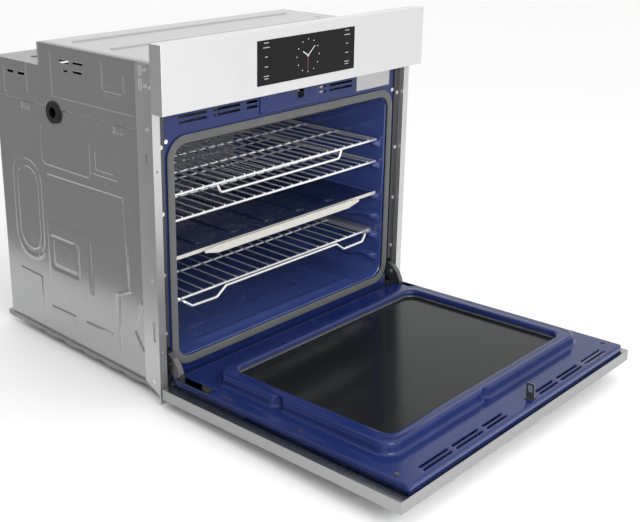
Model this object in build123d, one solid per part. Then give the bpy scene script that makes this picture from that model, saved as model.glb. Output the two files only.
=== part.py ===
from build123d import *
import os
from math import sin, cos, pi, radians

os.makedirs("parts", exist_ok=True)

# A built-in wall oven with a drop-down door.  Millimetres.  X is the width, the
# front faces -Y, Z is up.  Heights below are measured from the cabinet shelf; every
# finished piece is lowered by HANG, which puts the origin at the middle of the four
# cabinet screws, on the front plane of the side trims.  The door is modelled open.

# driving sizes ------------------------------------------------------------------
FACE_W = 756.0          # width of the control panel and of the door
PANEL_H = 126.5         # control panel height
PANEL_D = 31.6          # how far the panel stands in front of the trim plane
DOOR_L = 575.5          # door, hinge end to free end
DOOR_T = 22.4           # depth of the door's steel pan
DOOR_Z0 = -10.5         # lower end of the closed door
DOOR_GAP = 3.0          # closed door to control panel
DOOR_TILT = 2.14        # the open door stops this much above level, degrees
BODY_W = 716.0          # across the side panels
BODY_D = 552.0          # trim plane to the rear panel
REAR_RISE = 38.0        # rear part of the casing above the panel's lower edge
HOOD_H = 49.0           # raised top housing above that
HOOD_Y = 383.0          # rear end of the raised housing
SHEET = 1.0             # casing sheet
ENAMEL = 1.2            # enamelled sheet of frame and cavity
FRAME_Y = 15.0          # front face of the enamelled front frame
CAV_W = 634.0           # cavity opening
CAV_Z0 = 64.0           # cavity floor
CAV_H = 433.0           # cavity opening height
CAV_D = 465.0           # cavity depth
CAV_R = 28.0            # corner radius of the opening
GASKET_W = 17.0         # gasket strip width
WRAP_T = 20.0           # insulation
GUIDE_OUT = 12.0        # rack guides stand this far off the cavity wall
RACK_D = 418.0          # rack, front rail to rear rail
RAIL_R = 3.0            # rack frame wire
WIRE_R = 1.7            # rack grid wire
GLASS_W = 285.0         # touch glass in the control panel
GLASS_H = 86.6
FAN_R = 70.0            # convection impeller
FAN_X = 145.0           # impeller centres, either side of the middle
ELEMENT_R = 94.0        # ring heater round each impeller
PIN_R = 1.8             # hinge pin
HANG = 280.0            # shelf to the middle of the cabinet screws
SCREW_DZ = 180.0        # cabinet screws above and below that
SCREW_HOLE_R = 2.3

# derived ------------------------------------------------------------------------
HW = FACE_W / 2
BW = BODY_W / 2
PANEL_Z = DOOR_Z0 + DOOR_L + DOOR_GAP
CW = CAV_W / 2
CAV_Z1 = CAV_Z0 + CAV_H
CAV_Y0 = FRAME_Y + ENAMEL
CAV_Y1 = CAV_Y0 + CAV_D
DECK_Z = PANEL_Z - 42.0
REAR_H = PANEL_Z + REAR_RISE
BRACKET_Z = (PANEL_Z + 44.0, PANEL_Z + 73.0)      # screws of the panel's brackets
LAMP_X = CW - 49.0
HOOD_Z = REAR_H + HOOD_H
PIN_Y = -27.5           # door pivot
PIN_Z = 9.5
DOOR_Y = -PANEL_D + DOOR_T          # back of the steel pan when the door is closed
ARM_X0 = 338.0          # hinge arm, inner and outer face
ARM_X1 = 350.0
BASE_N = 18.0           # door liner above the steel pan
RING_N = 40.0           # raised ring above the steel pan
RING_X = 312.0
RING_L0 = 79.0
RING_L1 = DOOR_L - 75.0
WIN_X = 278.0
WIN_L0 = 97.0
WIN_L1 = DOOR_L - 100.5
LINER_X = 355.0
LINER_L0 = 7.0
LINER_L1 = DOOR_L - 2.5
POST_X = 28.0           # latch strike on the door
POST_L = DOOR_L - 18.0
GUIDES = [113.0, 165.0, 213.0, 262.0, 337.5, 389.5]
RACK_Y0 = 36.0
RACK_X = CW - GUIDE_OUT + 4.0       # centre of the racks' side wires


# helpers ------------------------------------------------------------------------
def box(x0, x1, y0, y1, z0, z1):
    return Pos((x0 + x1) / 2, (y0 + y1) / 2, (z0 + z1) / 2) * Box(x1 - x0, y1 - y0, z1 - z0)


def slab_y(face, y0, y1):
    return Pos(0, y1, 0) * extrude(Plane.XZ * face, amount=y1 - y0)


def slab_x(face, x0, x1):
    return Pos(x0, 0, 0) * extrude(Plane.YZ * face, amount=x1 - x0)


def slab_z(face, z0, z1):
    return Pos(0, 0, z0) * extrude(face, amount=z1 - z0)


def rrect(a0, a1, b0, b1, r):
    return Pos((a0 + a1) / 2, (b0 + b1) / 2) * RectangleRounded(a1 - a0, b1 - b0, r)


def poly(points):
    # counter-clockwise, so that every slab grows the same way
    turn = 0.0
    for (a0, b0), (a1, b1) in zip(points, points[1:] + points[:1]):
        turn += a0 * b1 - a1 * b0
    if turn < 0:
        points = points[::-1]
    return Polygon(*points, align=None)


def rod_x(x0, x1, y, z, r):
    return Pos((x0 + x1) / 2, y, z) * Rot(0, 90, 0) * Cylinder(r, x1 - x0)


def rod_y(y0, y1, x, z, r):
    return Pos(x, (y0 + y1) / 2, z) * Rot(90, 0, 0) * Cylinder(r, y1 - y0)


def rod_z(z0, z1, x, y, r):
    return Pos(x, y, (z0 + z1) / 2) * Cylinder(r, z1 - z0)


def ball(x, y, z, r):
    return Pos(x, y, z) * Sphere(r)


def fuse(shapes):
    return shapes[0] + shapes[1:]


def bent_wire(points, r, bend):
    path = FilletPolyline(*points, radius=bend)
    start = Plane(origin=path @ 0, z_dir=path % 0)
    return sweep(start * Circle(r), path=path)


def screw_y(x, y, z, r=4.2, shank=1.9, reach=6.0):
    head = rod_y(y - 1.8, y, x, z, r)
    head = head - box(x - 2.6, x + 2.6, y - 2.5, y - 1.0, z - 0.5, z + 0.5)
    head = head - box(x - 0.5, x + 0.5, y - 2.5, y - 1.0, z - 2.6, z + 2.6)
    return head + rod_y(y - 0.1, y + reach, x, z, shank)


def screw_x(side, x, y, z, r=4.2, shank=1.9, reach=6.0):
    # side is -1 on the left casing wall and 1 on the right
    head = rod_x(x, x + 1.8, y, z, r)
    head = head - box(x + 1.0, x + 2.5, y - 2.6, y + 2.6, z - 0.5, z + 0.5)
    head = head - box(x + 1.0, x + 2.5, y - 0.5, y + 0.5, z - 2.6, z + 2.6)
    one = head + rod_x(x - reach, x + 0.1, y, z, shank)
    if side < 0:
        one = mirror(one, about=Plane.YZ)
    return one


def save(name, shape):
    export_step(Pos(0, 0, -HANG) * shape, "parts/" + name + ".step")


def group(name, shapes):
    save(name, Compound(children=[s for s in shapes]))


def both(name, maker):
    # one piece for each side of the oven, the left one mirrored from the right
    right = maker()
    save(name + "_right", right)
    save(name + "_left", mirror(right, about=Plane.YZ))


def pair(name, maker):
    # a mirrored pair kept together
    right = maker()
    group(name, [right, mirror(right, about=Plane.YZ)])


# the open door: a flat frame with the length l along -Y and the depth n along Z
def open_door(shape):
    flat = Pos(0, DOOR_PIVOT_L, -DOOR_PIVOT_N) * shape
    return Pos(0, PIN_Y, PIN_Z) * Rot(-DOOR_TILT, 0, 0) * flat


DOOR_PIVOT_L = PIN_Z - DOOR_Z0
DOOR_PIVOT_N = PIN_Y - DOOR_Y


def dbox(x0, x1, l0, l1, n0, n1):
    return box(x0, x1, -l1, -l0, n0, n1)


def dslab(x0, x1, l0, l1, n0, n1, r):
    return slab_z(rrect(x0, x1, -l1, -l0, r), n0, n1)


# casing -------------------------------------------------------------------------
def side_panel():
    top = REAR_H
    face = poly([(17, 14), (BODY_D - 1, 14), (BODY_D - 1, top), (17, top)])
    wall = slab_x(face, BW - SHEET, BW)
    pads = []
    hollows = []
    # raised panels pressed outward 2.4 mm: y0, y1, z0, z1, corner radius
    presses = [
        (391, 504, 172, 407, 40),
        (231, 385, 137, 275, 14),
        (218, 388, 397, 482, 18),
        (129, 210, 412, 474, 12),
    ]
    for y0, y1, z0, z1, r in presses:
        pads.append(slab_x(rrect(y0, y1, z0, z1, r), BW, BW + 2.4))
        hollows.append(slab_x(rrect(y0 + 1, y1 - 1, z0 + 1, z1 - 1, r - 1), BW - 2, BW + 1.4))
    wall = fuse([wall] + pads) - hollows
    cuts = [rod_x(BW - 5, BW + 5, 285, 244, 4.0)]
    for z in (22, 235, 531):
        cuts.append(rod_x(BW - 5, BW + 5, 36, z, 2.0))
    cuts.append(slab_x(rrect(424, 500, 574, 583, 3), BW - 5, BW + 5))
    for y in (437, 125):
        cuts.append(slab_x(rrect(y - 9, y + 9, 517, 521, 1.9), BW - 5, BW + 5))
    return wall - cuts


def side_panel_left():
    # the supply cable leaves through this side
    left = mirror(side_panel(), about=Plane.YZ)
    return left - rod_x(-BW - 5, -BW + 5, 333, 516, 19.0)


def rear_panel():
    wall = box(-BW + 2, BW - 2, BODY_D - SHEET, BODY_D, 14, REAR_H - 1.2)
    cuts = []
    for x in (-FAN_X, FAN_X):
        for a in range(8):
            cx = x + 30 * cos(a * pi / 4)
            cz = 300 + 30 * sin(a * pi / 4)
            cuts.append(rod_y(BODY_D - 5, BODY_D + 5, cx, cz, 5))
    for i in range(12):
        x = -275 + i * 50
        cuts.append(slab_y(rrect(x - 18, x + 18, 566, 571, 2.4), BODY_D - 5, BODY_D + 5))
    cuts.append(rod_y(BODY_D - 5, BODY_D + 5, 250, 520, 12))
    return wall - cuts


def rear_lid():
    lid = box(-BW + 1.2, BW - 1.2, HOOD_Y + 0.5, BODY_D, REAR_H - SHEET, REAR_H)
    lid = lid - box(-BW + 1.2, BW - 1.2, BODY_D - 1.2, BODY_D + 1, REAR_H - 5, REAR_H + 5)
    rib = slab_z(rrect(-310, 310, 470, 484, 6), REAR_H - 0.5, REAR_H + 1.6)
    rib = rib - slab_z(rrect(-309, 309, 471, 483, 5), REAR_H - 2, REAR_H + 0.6)
    cut = slab_z(rrect(-309, 309, 471, 483, 5), REAR_H - 2, REAR_H + 0.4)
    return (lid - cut) + rib


def hood():
    z0 = REAR_H + 0.2
    shell = box(-BW, BW, 17, HOOD_Y, z0, HOOD_Z)
    shell = shell - box(-BW + SHEET, BW - SHEET, 17 + SHEET, HOOD_Y - SHEET, z0 - 1, HOOD_Z - SHEET)
    shell = shell - box(-BW + 40, BW - 40, 15, 20, z0 + 6, HOOD_Z - 10)
    ribs = []
    hollows = []
    for y in (198, 324):
        ribs.append(slab_z(rrect(-310, 310, y - 8, y + 8, 7), HOOD_Z - 0.5, HOOD_Z + 2.0))
        hollows.append(slab_z(rrect(-309, 309, y - 7, y + 7, 6), HOOD_Z - 3, HOOD_Z + 1.0))
    shell = fuse([shell] + ribs) - hollows
    cuts = []
    for z in BRACKET_Z:
        cuts.append(rod_x(BW - 5, BW + 5, 36, z, 2.0))
        cuts.append(rod_x(-BW - 5, -BW + 5, 36, z, 2.0))
    z0 = PANEL_Z + 52
    for y, z in ((290, z0 + 12), (244, z0 + 12), (286, z0), (248, z0)):
        cuts.append(slab_x(rrect(y - 14, y + 14, z - 2.2, z + 2.2, 2.1), -BW - 5, BW + 5))
    return shell - cuts


def base_pan():
    pan = box(-BW + 2, BW - 2, 20, BODY_D - 1.2, 12, 12 + SHEET)
    for s in (-1, 1):
        skid = box(BW - 12, BW - 0.5, 22, BODY_D + 17, 0, 12.0)
        skid = skid - box(BW - 11, BW - 1.5, 10, BODY_D + 30, -1, 11.0)
        notches = [box(BW - 15, BW + 5, y, y + 26, -1, 3) for y in range(60, 520, 72)]
        skid = skid - notches
        if s < 0:
            skid = mirror(skid, about=Plane.YZ)
        pan = pan + skid
    lip = box(-BW + 2, BW - 2, 20, 20 + SHEET, 12, 21.5)
    return pan + lip


def component_deck():
    deck = box(-BW + 2, BW - 2, 36, BODY_D - 3, DECK_Z - SHEET, DECK_Z)
    feet = []
    for s in (-1, 1):
        x0 = min(s * (BW - 3), s * (BW - 2))
        feet.append(box(x0, x0 + 1, 44, BODY_D - 3, DECK_Z - 8, DECK_Z))
    cable = rod_z(DECK_Z - 20, DECK_Z + 5, -BW + 3, 333, 27)
    return fuse([deck] + feet) - cable


def front_frame():
    z0 = 22.0
    z1 = PANEL_Z - 2
    face = box(-340, 340, FRAME_Y, FRAME_Y + ENAMEL, z0, z1)
    pad = slab_y(rrect(-86, 80, PANEL_Z - 46, z1, 8), FRAME_Y - 2.5, FRAME_Y + 0.2)
    face = face + pad
    face = face + box(-340, 340, FRAME_Y, FRAME_Y + 14, z0, z0 + ENAMEL)
    face = face + box(-340, 340, FRAME_Y, FRAME_Y + 14, z1 - ENAMEL, z1)
    cuts = [slab_y(rrect(-84, 78, PANEL_Z - 44, z1 - 2, 6), FRAME_Y - 1.3, FRAME_Y + 2)]
    cuts.append(slab_y(rrect(-CW, CW, CAV_Z0, CAV_Z1, CAV_R), FRAME_Y - 5, FRAME_Y + 5))
    for x0, x1 in ((-302, -231), (-214, -143), (-126, -95), (88, 110), (119, 194)):
        for z in (PANEL_Z - 30.5, PANEL_Z - 20):
            cuts.append(slab_y(rrect(x0, x1, z - 2.5, z + 2.5, 2.4), FRAME_Y - 5, FRAME_Y + 5))
    zl = POST_L + DOOR_Z0
    cuts.append(slab_y(rrect(POST_X - 9, POST_X + 9, zl - 11, zl + 11, 3), FRAME_Y - 5, FRAME_Y + 5))
    for s in (-1, 1):
        x = s * (ARM_X0 + ARM_X1) / 2
        cuts.append(box(x - 8, x + 8, FRAME_Y - 5, FRAME_Y + 20, 42, 96))
        cuts.append(rod_y(FRAME_Y - 5, FRAME_Y + 5, s * 334, PANEL_Z - 60, 2.0))
    return face - cuts


def side_band():
    # dark painted strip between the enamelled frame and the trim
    face = box(340.4, BW - 0.2, FRAME_Y - 3, FRAME_Y - 1.8, -2, PANEL_Z - 2)
    face = face + box(340.4, 341.6, FRAME_Y - 3, FRAME_Y + 18, 23, PANEL_Z - 2)
    cuts = [rod_y(0, 30, 349, z, 2.0) for z in (130, 250, 372, 500)]
    cuts.append(box(ARM_X0 - 2, ARM_X1 + 2, 0, 60, 40, 98))
    return face - cuts


def side_trim():
    # an angle: a strip across the front and a plate along the casing wall
    z0 = -10.0
    strip = box(BW + 1.4, HW - 2, 0, 1.2, z0, PANEL_Z)
    face = poly([(0, z0 + 8), (10, z0 - 2), (66, z0 + 24), (66, HOOD_Z - 4), (0.0, HOOD_Z - 4)])
    plate = slab_x(face, BW + 0.2, BW + 1.4)
    cuts = [slab_x(rrect(37, 45, 463, 485, 3.9), BW - 5, BW + 5)]
    cuts.append(slab_x(rrect(28, 37, 107, 151, 4.4), BW - 5, BW + 5))
    for z in (22, 235, 531) + BRACKET_Z:
        cuts.append(rod_x(BW - 5, BW + 5, 36, z, 2.0))
    for z in (HANG - SCREW_DZ, HANG + SCREW_DZ):
        cuts.append(rod_y(-5, 5, 368, z, SCREW_HOLE_R))
    return (strip + plate) - cuts


# hinges -------------------------------------------------------------------------
def hinge_receiver():
    cheek_a = box(ARM_X0 - 5, ARM_X0 - 3.5, FRAME_Y + 1.6, 110, 36, 104)
    cheek_b = box(ARM_X1 + 3.5, ARM_X1 + 5, FRAME_Y + 1.6, 110, 36, 104)
    web = box(ARM_X0 - 5, ARM_X1 + 5, 108.5, 110, 36, 104)
    roller = rod_x(ARM_X0 - 4, ARM_X1 + 4, 60, 60, 4.0)
    return fuse([cheek_a, cheek_b, web, roller])


def hinge_arm():
    # stays in the casing; the door turns about its nose
    outer = [(-30.2, PIN_Z), (-30.0, 36), (-27, 54), (-19, 70), (-8, 82), (6, 89), (22, 90)]
    tail = [(70, 86), (70, 64.3), (56, 64.3), (40, 62)]
    inner = [(16, 58), (2, 52), (-10, 42), (-17, 30), (-20, 18), (-24.8, PIN_Z)]
    arm = slab_x(poly(outer + tail + inner), ARM_X0, ARM_X1)
    arm = arm + rod_x(ARM_X0, ARM_X1, PIN_Y, PIN_Z, 2.75)
    arm = arm - rod_x(ARM_X0 - 5, ARM_X1 + 5, PIN_Y, PIN_Z, PIN_R + 0.05)
    return arm - rod_x(ARM_X0 - 5, ARM_X1 + 5, -2, 70, 5.0)


# cavity -------------------------------------------------------------------------
def rear_holes(y0, y1, grow=0.0):
    holes = []
    tail_z = 300 - ELEMENT_R * cos(12 / ELEMENT_R)
    for s in (-1, 1):
        holes.append(rod_y(y0, y1, s * FAN_X, 300, 9 + grow))
        holes.append(rod_y(y0, y1, s * LAMP_X, 452, 24 + grow))
        holes.append(rod_y(y0, y1, s * 30, 478, 4.2 + grow))
    for s in (-1, 1):
        for d in (-12, 12):
            holes.append(rod_y(y0, y1, s * FAN_X + d, tail_z, 3.6 + grow))
    holes.append(rod_y(y0, y1, -205, 460, 3.3 + grow))
    return holes


def cavity_liner():
    outer = slab_y(rrect(-CW - ENAMEL, CW + ENAMEL, CAV_Z0 - ENAMEL, CAV_Z1 + ENAMEL, CAV_R + ENAMEL),
                   CAV_Y0, CAV_Y1 + ENAMEL)
    inner = slab_y(rrect(-CW, CW, CAV_Z0, CAV_Z1, CAV_R), CAV_Y0 - 5, CAV_Y1)
    shell = outer - inner
    ribs = []
    for z in GUIDES:
        for s in (-1, 1):
            x0 = min(s * (CW - GUIDE_OUT), s * (CW + 0.6))
            x1 = max(s * (CW - GUIDE_OUT), s * (CW + 0.6))
            ribs.append(box(x0, x1, CAV_Y0 + 16, CAV_Y1 - 16, z - 7, z))
    shell = fuse([shell] + ribs)
    shell = fuse([shell] + broil_hangers())
    return shell - rear_holes(CAV_Y1 - 2, CAV_Y1 + 5)


def door_gasket():
    w = GASKET_W
    outer = rrect(-CW - w, CW + w, CAV_Z0 - w, CAV_Z1 + w, CAV_R + w)
    inner = rrect(-CW - 0.5, CW + 0.5, CAV_Z0 - 0.5, CAV_Z1 + 0.5, CAV_R + 0.5)
    ring = slab_y(outer - inner, 9.0, FRAME_Y)
    front = ring.faces().sort_by(Axis.Y)[0]
    return fillet(front.edges(), 2.2)


def insulation_wrap():
    t = WRAP_T
    gap = ENAMEL + 0.4
    outer = slab_y(rrect(-CW - t, CW + t, CAV_Z0 - t - 6, CAV_Z1 + t, CAV_R + t),
                   FRAME_Y + 16, CAV_Y1 + 24)
    inner = slab_y(rrect(-CW - gap, CW + gap, CAV_Z0 - 12, CAV_Z1 + gap, CAV_R + gap),
                   0, CAV_Y1 + ENAMEL + 0.4)
    wrap = outer - inner
    cuts = rear_holes(CAV_Y1 - 2, CAV_Y1 + 40, grow=1.5)
    for s in (-1, 1):
        cuts.append(rod_y(CAV_Y1 - 2, CAV_Y1 + 40, s * FAN_X, 300, 42))
        cuts.append(rod_y(CAV_Y1 - 2, CAV_Y1 + 40, s * LAMP_X, 452, 28))
        cuts.append(box(min(s * 330, s * 360), max(s * 330, s * 360), 0, 114, 30, 108))
    return wrap - cuts


def bake_element():
    z = CAV_Z0 - ENAMEL - 3.6
    pts = []
    for i, x in enumerate((-220, -110, 0, 110, 220)):
        ys = (80, 420) if i % 2 == 0 else (420, 80)
        pts.append((x, ys[0], z))
        pts.append((x, ys[1], z))
    return bent_wire(pts, 3.3, 22)


def broil_element():
    z = CAV_Z1 - 19.0
    pts = [(-30, CAV_Y1 + 22, z), (-30, 410, z), (-235, 410, z), (-235, 340, z), (-80, 340, z)]
    pts += [(-80, 270, z), (-235, 270, z), (-235, 200, z), (-80, 200, z), (-80, 130, z)]
    pts += [(-235, 130, z), (-235, 70, z)]
    back = [(-x, y, zz) for x, y, zz in reversed(pts)]
    return bent_wire(pts + back, 3.4, 18)


def broil_hangers():
    z = CAV_Z1 - 19.0
    out = []
    for x in (-160, 160):
        for y in (130, 270):
            clip = box(x - 6, x + 6, y - 1, y + 1, z + 3.45, CAV_Z1 + 0.5)
            out.append(clip)
    return out


def fan_cover():
    x = FAN_X
    h = 118.0
    y0 = CAV_Y1 - 20
    shell = slab_y(rrect(x - h, x + h, 300 - h, 300 + h, 26), y0, CAV_Y1 - 0.1)
    shell = shell - slab_y(rrect(x - h + 1.2, x + h - 1.2, 301.2 - h, 298.8 + h, 24.8), y0 + 1.2, CAV_Y1 + 5)
    cuts = []
    for ring_r, count in ((18, 6), (32, 12), (46, 16), (60, 20)):
        for i in range(count):
            a = 2 * pi * i / count
            cuts.append(rod_y(y0 - 2, y0 + 4, x + ring_r * cos(a), 300 + ring_r * sin(a), 4.2))
    for i in range(5):
        for s in (-1, 1):
            xc = x - 80 + i * 40
            zc = 300 + s * (h - 14)
            cuts.append(slab_y(rrect(xc - 14, xc + 14, zc - 3, zc + 3, 2.9), y0 - 2, y0 + 4))
    return shell - cuts


def fan_motor():
    x = FAN_X
    can = rod_y(CAV_Y1 + 6, CAV_Y1 + 52, x, 300, 38)
    neck = rod_y(CAV_Y1 + ENAMEL + 0.2, CAV_Y1 + 7, x, 300, 14)
    bore = rod_y(CAV_Y1 - 5, CAV_Y1 + 34, x, 300, 4.05)
    end = rod_y(CAV_Y1 + 51, CAV_Y1 + 58, x, 300, 20)
    return fuse([can, neck, end]) - bore


def impeller(x):
    y = CAV_Y1 - 17
    plate = rod_y(CAV_Y1 - 5.5, CAV_Y1 - 4, x, 300, FAN_R)
    hub = rod_y(y, CAV_Y1 - 4, x, 300, 11)
    shaft = rod_y(CAV_Y1 - 5, CAV_Y1 + 32, x, 300, 4.0)
    blades = []
    for i in range(10):
        blade = Pos(FAN_R / 2 + 8, 0, 0) * Box(FAN_R - 18, 13.0, 1.2)
        blades.append(Pos(x, CAV_Y1 - 11.3, 300) * Rot(0, 36 * i, 0) * Rot(0, 0, 0) * blade)
    return fuse([plate, hub, shaft] + blades)


def fan_element():
    # ring heater around the impeller, its two tails through the cavity wall
    x = FAN_X
    r = ELEMENT_R
    y = CAV_Y1 - 10
    a = 12 / r
    ring = Pos(x, y, 300) * Rot(90, 0, 0) * Torus(r, 3.2)
    ring = ring - box(x - 12, x + 12, y - 8, y + 8, 300 - r - 9, 300 - r + 9)
    z = 300 - r * cos(a)
    tails = []
    for d in (-12, 12):
        tails.append(rod_y(y, CAV_Y1 + 24, x + d, z, 3.2))
        tails.append(ball(x + d, y, z, 3.2))
    return fuse([ring] + tails)


def lamp():
    # reflector can with its socket and halogen bulb
    x = LAMP_X
    can = rod_y(CAV_Y1 + ENAMEL + 0.2, CAV_Y1 + 40, x, 452, 26)
    can = can - rod_y(CAV_Y1 - 5, CAV_Y1 + 36, x, 452, 23)
    base = rod_y(CAV_Y1 + 24, CAV_Y1 + 37, x, 452, 9)
    bulb = rod_y(CAV_Y1 + 4, CAV_Y1 + 26, x, 452, 6.5)
    return fuse([can, base, bulb, ball(x, CAV_Y1 + 4, 452, 6.5)])


def lamp_lens():
    x = LAMP_X
    flange = rod_y(CAV_Y1 - 3, CAV_Y1 - 0.1, x, 452, 28)
    dome = Pos(x, CAV_Y1 - 3, 452) * Sphere(24)
    dome = dome & rod_y(CAV_Y1 - 15, CAV_Y1 - 2.9, x, 452, 30)
    lens = flange + dome
    return lens - rod_y(CAV_Y1 - 6, CAV_Y1 + 3, x, 452, 20)


def temperature_probe():
    rod = rod_y(CAV_Y1 - 100, CAV_Y1 + 20, -205, 460, 2.9)
    tip = ball(-205, CAV_Y1 - 100, 460, 2.9)
    flange = rod_y(CAV_Y1 - 1.6, CAV_Y1 - 0.1, -205, 460, 11)
    return fuse([rod, tip, flange])


# racks --------------------------------------------------------------------------
def rack_frame(z, x, y0, y1, r):
    # a closed wire rectangle
    parts = [rod_y(y0, y1, -x, z, r), rod_y(y0, y1, x, z, r)]
    parts += [rod_x(-x, x, y0, z, r), rod_x(-x, x, y1, z, r)]
    for cx in (-x, x):
        for cy in (y0, y1):
            parts.append(ball(cx, cy, z, r))
    return parts


def flat_rack(z, loop):
    y0 = RACK_Y0
    y1 = RACK_Y0 + RACK_D
    parts = rack_frame(z, RACK_X, y0, y1, RAIL_R)
    for f in (0.28, 0.52, 0.76):
        parts.append(rod_x(-RACK_X, RACK_X, y0 + f * RACK_D, z, 2.4))
    count = 21
    for i in range(count):
        x = -RACK_X + (i + 1) * 2 * RACK_X / (count + 1)
        parts.append(rod_y(y0 - 1, y1 + 1, x, z + RAIL_R + WIRE_R - 0.6, WIRE_R))
    if loop:
        drop = [(-189, y0, z), (-179, y0 - 1.0, z - 20), (179, y0 - 1.0, z - 20), (189, y0, z)]
        parts.append(bent_wire(drop, 2.8, 9))
    return fuse(parts)


def divider_shelf():
    z = 262.0
    y0 = 34.0
    y1 = RACK_Y0 + RACK_D
    plate = box(-RACK_X - 1, RACK_X + 1, y0, y1, z, z + 1.5)
    front = box(-RACK_X - 1, RACK_X + 1, y0 - 2, y0 + 0.5, z, z + 7)
    front = front + box(-198, 198, y0 - 2, y0, z - 7, z + 1)
    # a grip that is deep in the middle and tapers to the bar at both ends
    outline = [(-236, z + 1), (-200, z - 7), (200, z - 7), (236, z + 1)]
    outline += [(236, z + 6), (200, z + 9), (-200, z + 9), (-236, z + 6)]
    grip = slab_y(poly(outline), y0 - 14, y0 - 12) + box(-198, 198, y0 - 14, y0 - 1, z - 7, z - 5)
    for s in (-1, 1):
        grip = grip + box(min(s * 200, s * 230), max(s * 200, s * 230), y0 - 14, y0 - 1, z + 1, z + 3)
    rear = box(-RACK_X - 1, RACK_X + 1, y1 - 1.5, y1, z, z + 9)
    ribs = []
    for x in (-200, -100, 0, 100, 200):
        ribs.append(slab_z(rrect(x - 18, x + 18, 70, 420, 16), z + 1, z + 4))
    hollows = []
    for x in (-200, -100, 0, 100, 200):
        hollows.append(slab_z(rrect(x - 16.8, x + 16.8, 71, 419, 14.8), z - 1, z + 2.8))
    return fuse([plate, front, grip, rear] + ribs) - hollows


def glide_base():
    # two side channels on the lower guides, joined by a front and a rear wire
    z = 165.0
    parts = []
    for s in (-1, 1):
        x0 = min(s * (CW - 25), s * (CW - 5))
        x1 = max(s * (CW - 25), s * (CW - 5))
        rail = box(x0, x1, RACK_Y0 + 6, 456, z + 0.1, z + 12)
        a0 = min(s * (CW - 27), s * (CW - 9))
        a1 = max(s * (CW - 27), s * (CW - 9))
        rail = rail - box(a0, a1, RACK_Y0, 460, z + 1.6, z + 10.6)
        parts.append(rail)
    parts.append(rod_x(21 - CW, CW - 21, 60, z - 2.0, 2.6))
    parts.append(rod_x(21 - CW, CW - 21, 440, z - 2.0, 2.6))
    for s in (-1, 1):
        for y in (60, 440):
            parts.append(box(s * (CW - 21) - 3, s * (CW - 21) + 3, y - 3, y + 3, z - 3.0, z + 1.0))
    return fuse(parts)


def glide_rack():
    z = 171.1
    x = CW - 31.0
    parts = []
    for s in (-1, 1):
        a0 = min(s * (x - 1.5), s * (x + 20))
        a1 = max(s * (x - 1.5), s * (x + 20))
        parts.append(box(a0, a1, RACK_Y0 + 8, 452, z - 3.6, z + 3.6))
    y0 = RACK_Y0 + 2
    parts.append(rod_x(-x, x, y0 + 8, z, 3.0))
    parts.append(rod_x(-x, x, 450, z, 3.0))
    for f in (0.3, 0.6):
        parts.append(rod_x(-x, x, y0 + f * 410, z, 2.4))
    count = 17
    for i in range(count):
        xx = -x + (i + 1) * 2 * x / (count + 1)
        parts.append(rod_y(y0 + 7, 451, xx, z + 3.0 + WIRE_R - 0.6, WIRE_R))
    rail_z = z + 24
    stop_x = x - 36
    parts.append(rod_x(-stop_x, stop_x, 447, rail_z, 2.6))
    for i in (-2, -1, 0, 1, 2):
        parts.append(rod_z(z, rail_z, i * stop_x / 2, 447, 2.4))
    parts.append(ball(-stop_x, 447, rail_z, 2.6))
    parts.append(ball(stop_x, 447, rail_z, 2.6))
    # the front wire runs low at both ends and steps up into a long handle
    pts = [(-x + 4, y0 + 8, z), (-x + 4, y0 - 2.5, z - 2), (22 - x, y0 - 7.5, z - 15)]
    pts += [(88 - x, y0 - 8, z - 16), (114 - x, y0 - 8, z + 2)]
    back = [(-a, b, c) for a, b, c in reversed(pts)]
    parts.append(bent_wire(pts + back, 2.8, 6))
    return fuse(parts)


# control panel ------------------------------------------------------------------
def panel_frame():
    z0 = PANEL_Z
    z1 = PANEL_Z + PANEL_H
    shell = box(-HW, HW, -PANEL_D, 0, z0, z1)
    shell = shell - box(-HW + 1.5, HW - 1.5, -PANEL_D + 1.5, 5, z0 + 1.5, z1 - 1.5)
    gz = PANEL_Z + 20.6
    hole = box(-GLASS_W / 2, GLASS_W / 2, -PANEL_D - 1, -PANEL_D + 5, gz, gz + GLASS_H)
    return shell - hole


def touch_glass():
    gz = PANEL_Z + 20.6
    g = 0.25
    return box(-GLASS_W / 2 + g, GLASS_W / 2 - g, -PANEL_D, -PANEL_D + 3.0, gz + g, gz + GLASS_H - g)


def display_module():
    gz = PANEL_Z + 20.6
    body = box(-77, 77, -PANEL_D + 3.2, -PANEL_D + 9, gz + 4, gz + GLASS_H - 4)
    return body + box(-60, 60, -PANEL_D + 8.9, -PANEL_D + 11, gz + 14, gz + 70)


def control_board():
    z = PANEL_Z + 12
    board = box(-230, 230, -18, -16.4, z, z + 102)
    chips = []
    for i, x in enumerate((-190, -120, -40, 40, 120, 190)):
        w = 14 + 3 * (i % 3)
        chips.append(box(x - w, x + w, -16.5, -10 + (i % 2) * 3, z + 22, z + 52 + 6 * (i % 2)))
    for x in (-200, 200):
        chips.append(box(x - 20, x + 20, -16.5, -6, z + 74, z + 90))
    return fuse([board] + chips)


def panel_back():
    z0 = PANEL_Z + 3
    z1 = PANEL_Z + PANEL_H - 3
    back = box(-HW + 1.8, HW - 1.8, -1.4, -0.2, z0, z1)
    cuts = []
    for i in range(14):
        x = -300 + i * 46
        cuts.append(slab_y(rrect(x - 15, x + 15, z0 + 96, z0 + 101, 2.4), -5, 5))
    posts = []
    for x in (-215, 215):
        for z in (PANEL_Z + 20, PANEL_Z + 106):
            posts.append(rod_y(-16.35, -1, x, z, 4))
    return fuse([back - cuts] + posts)


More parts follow.
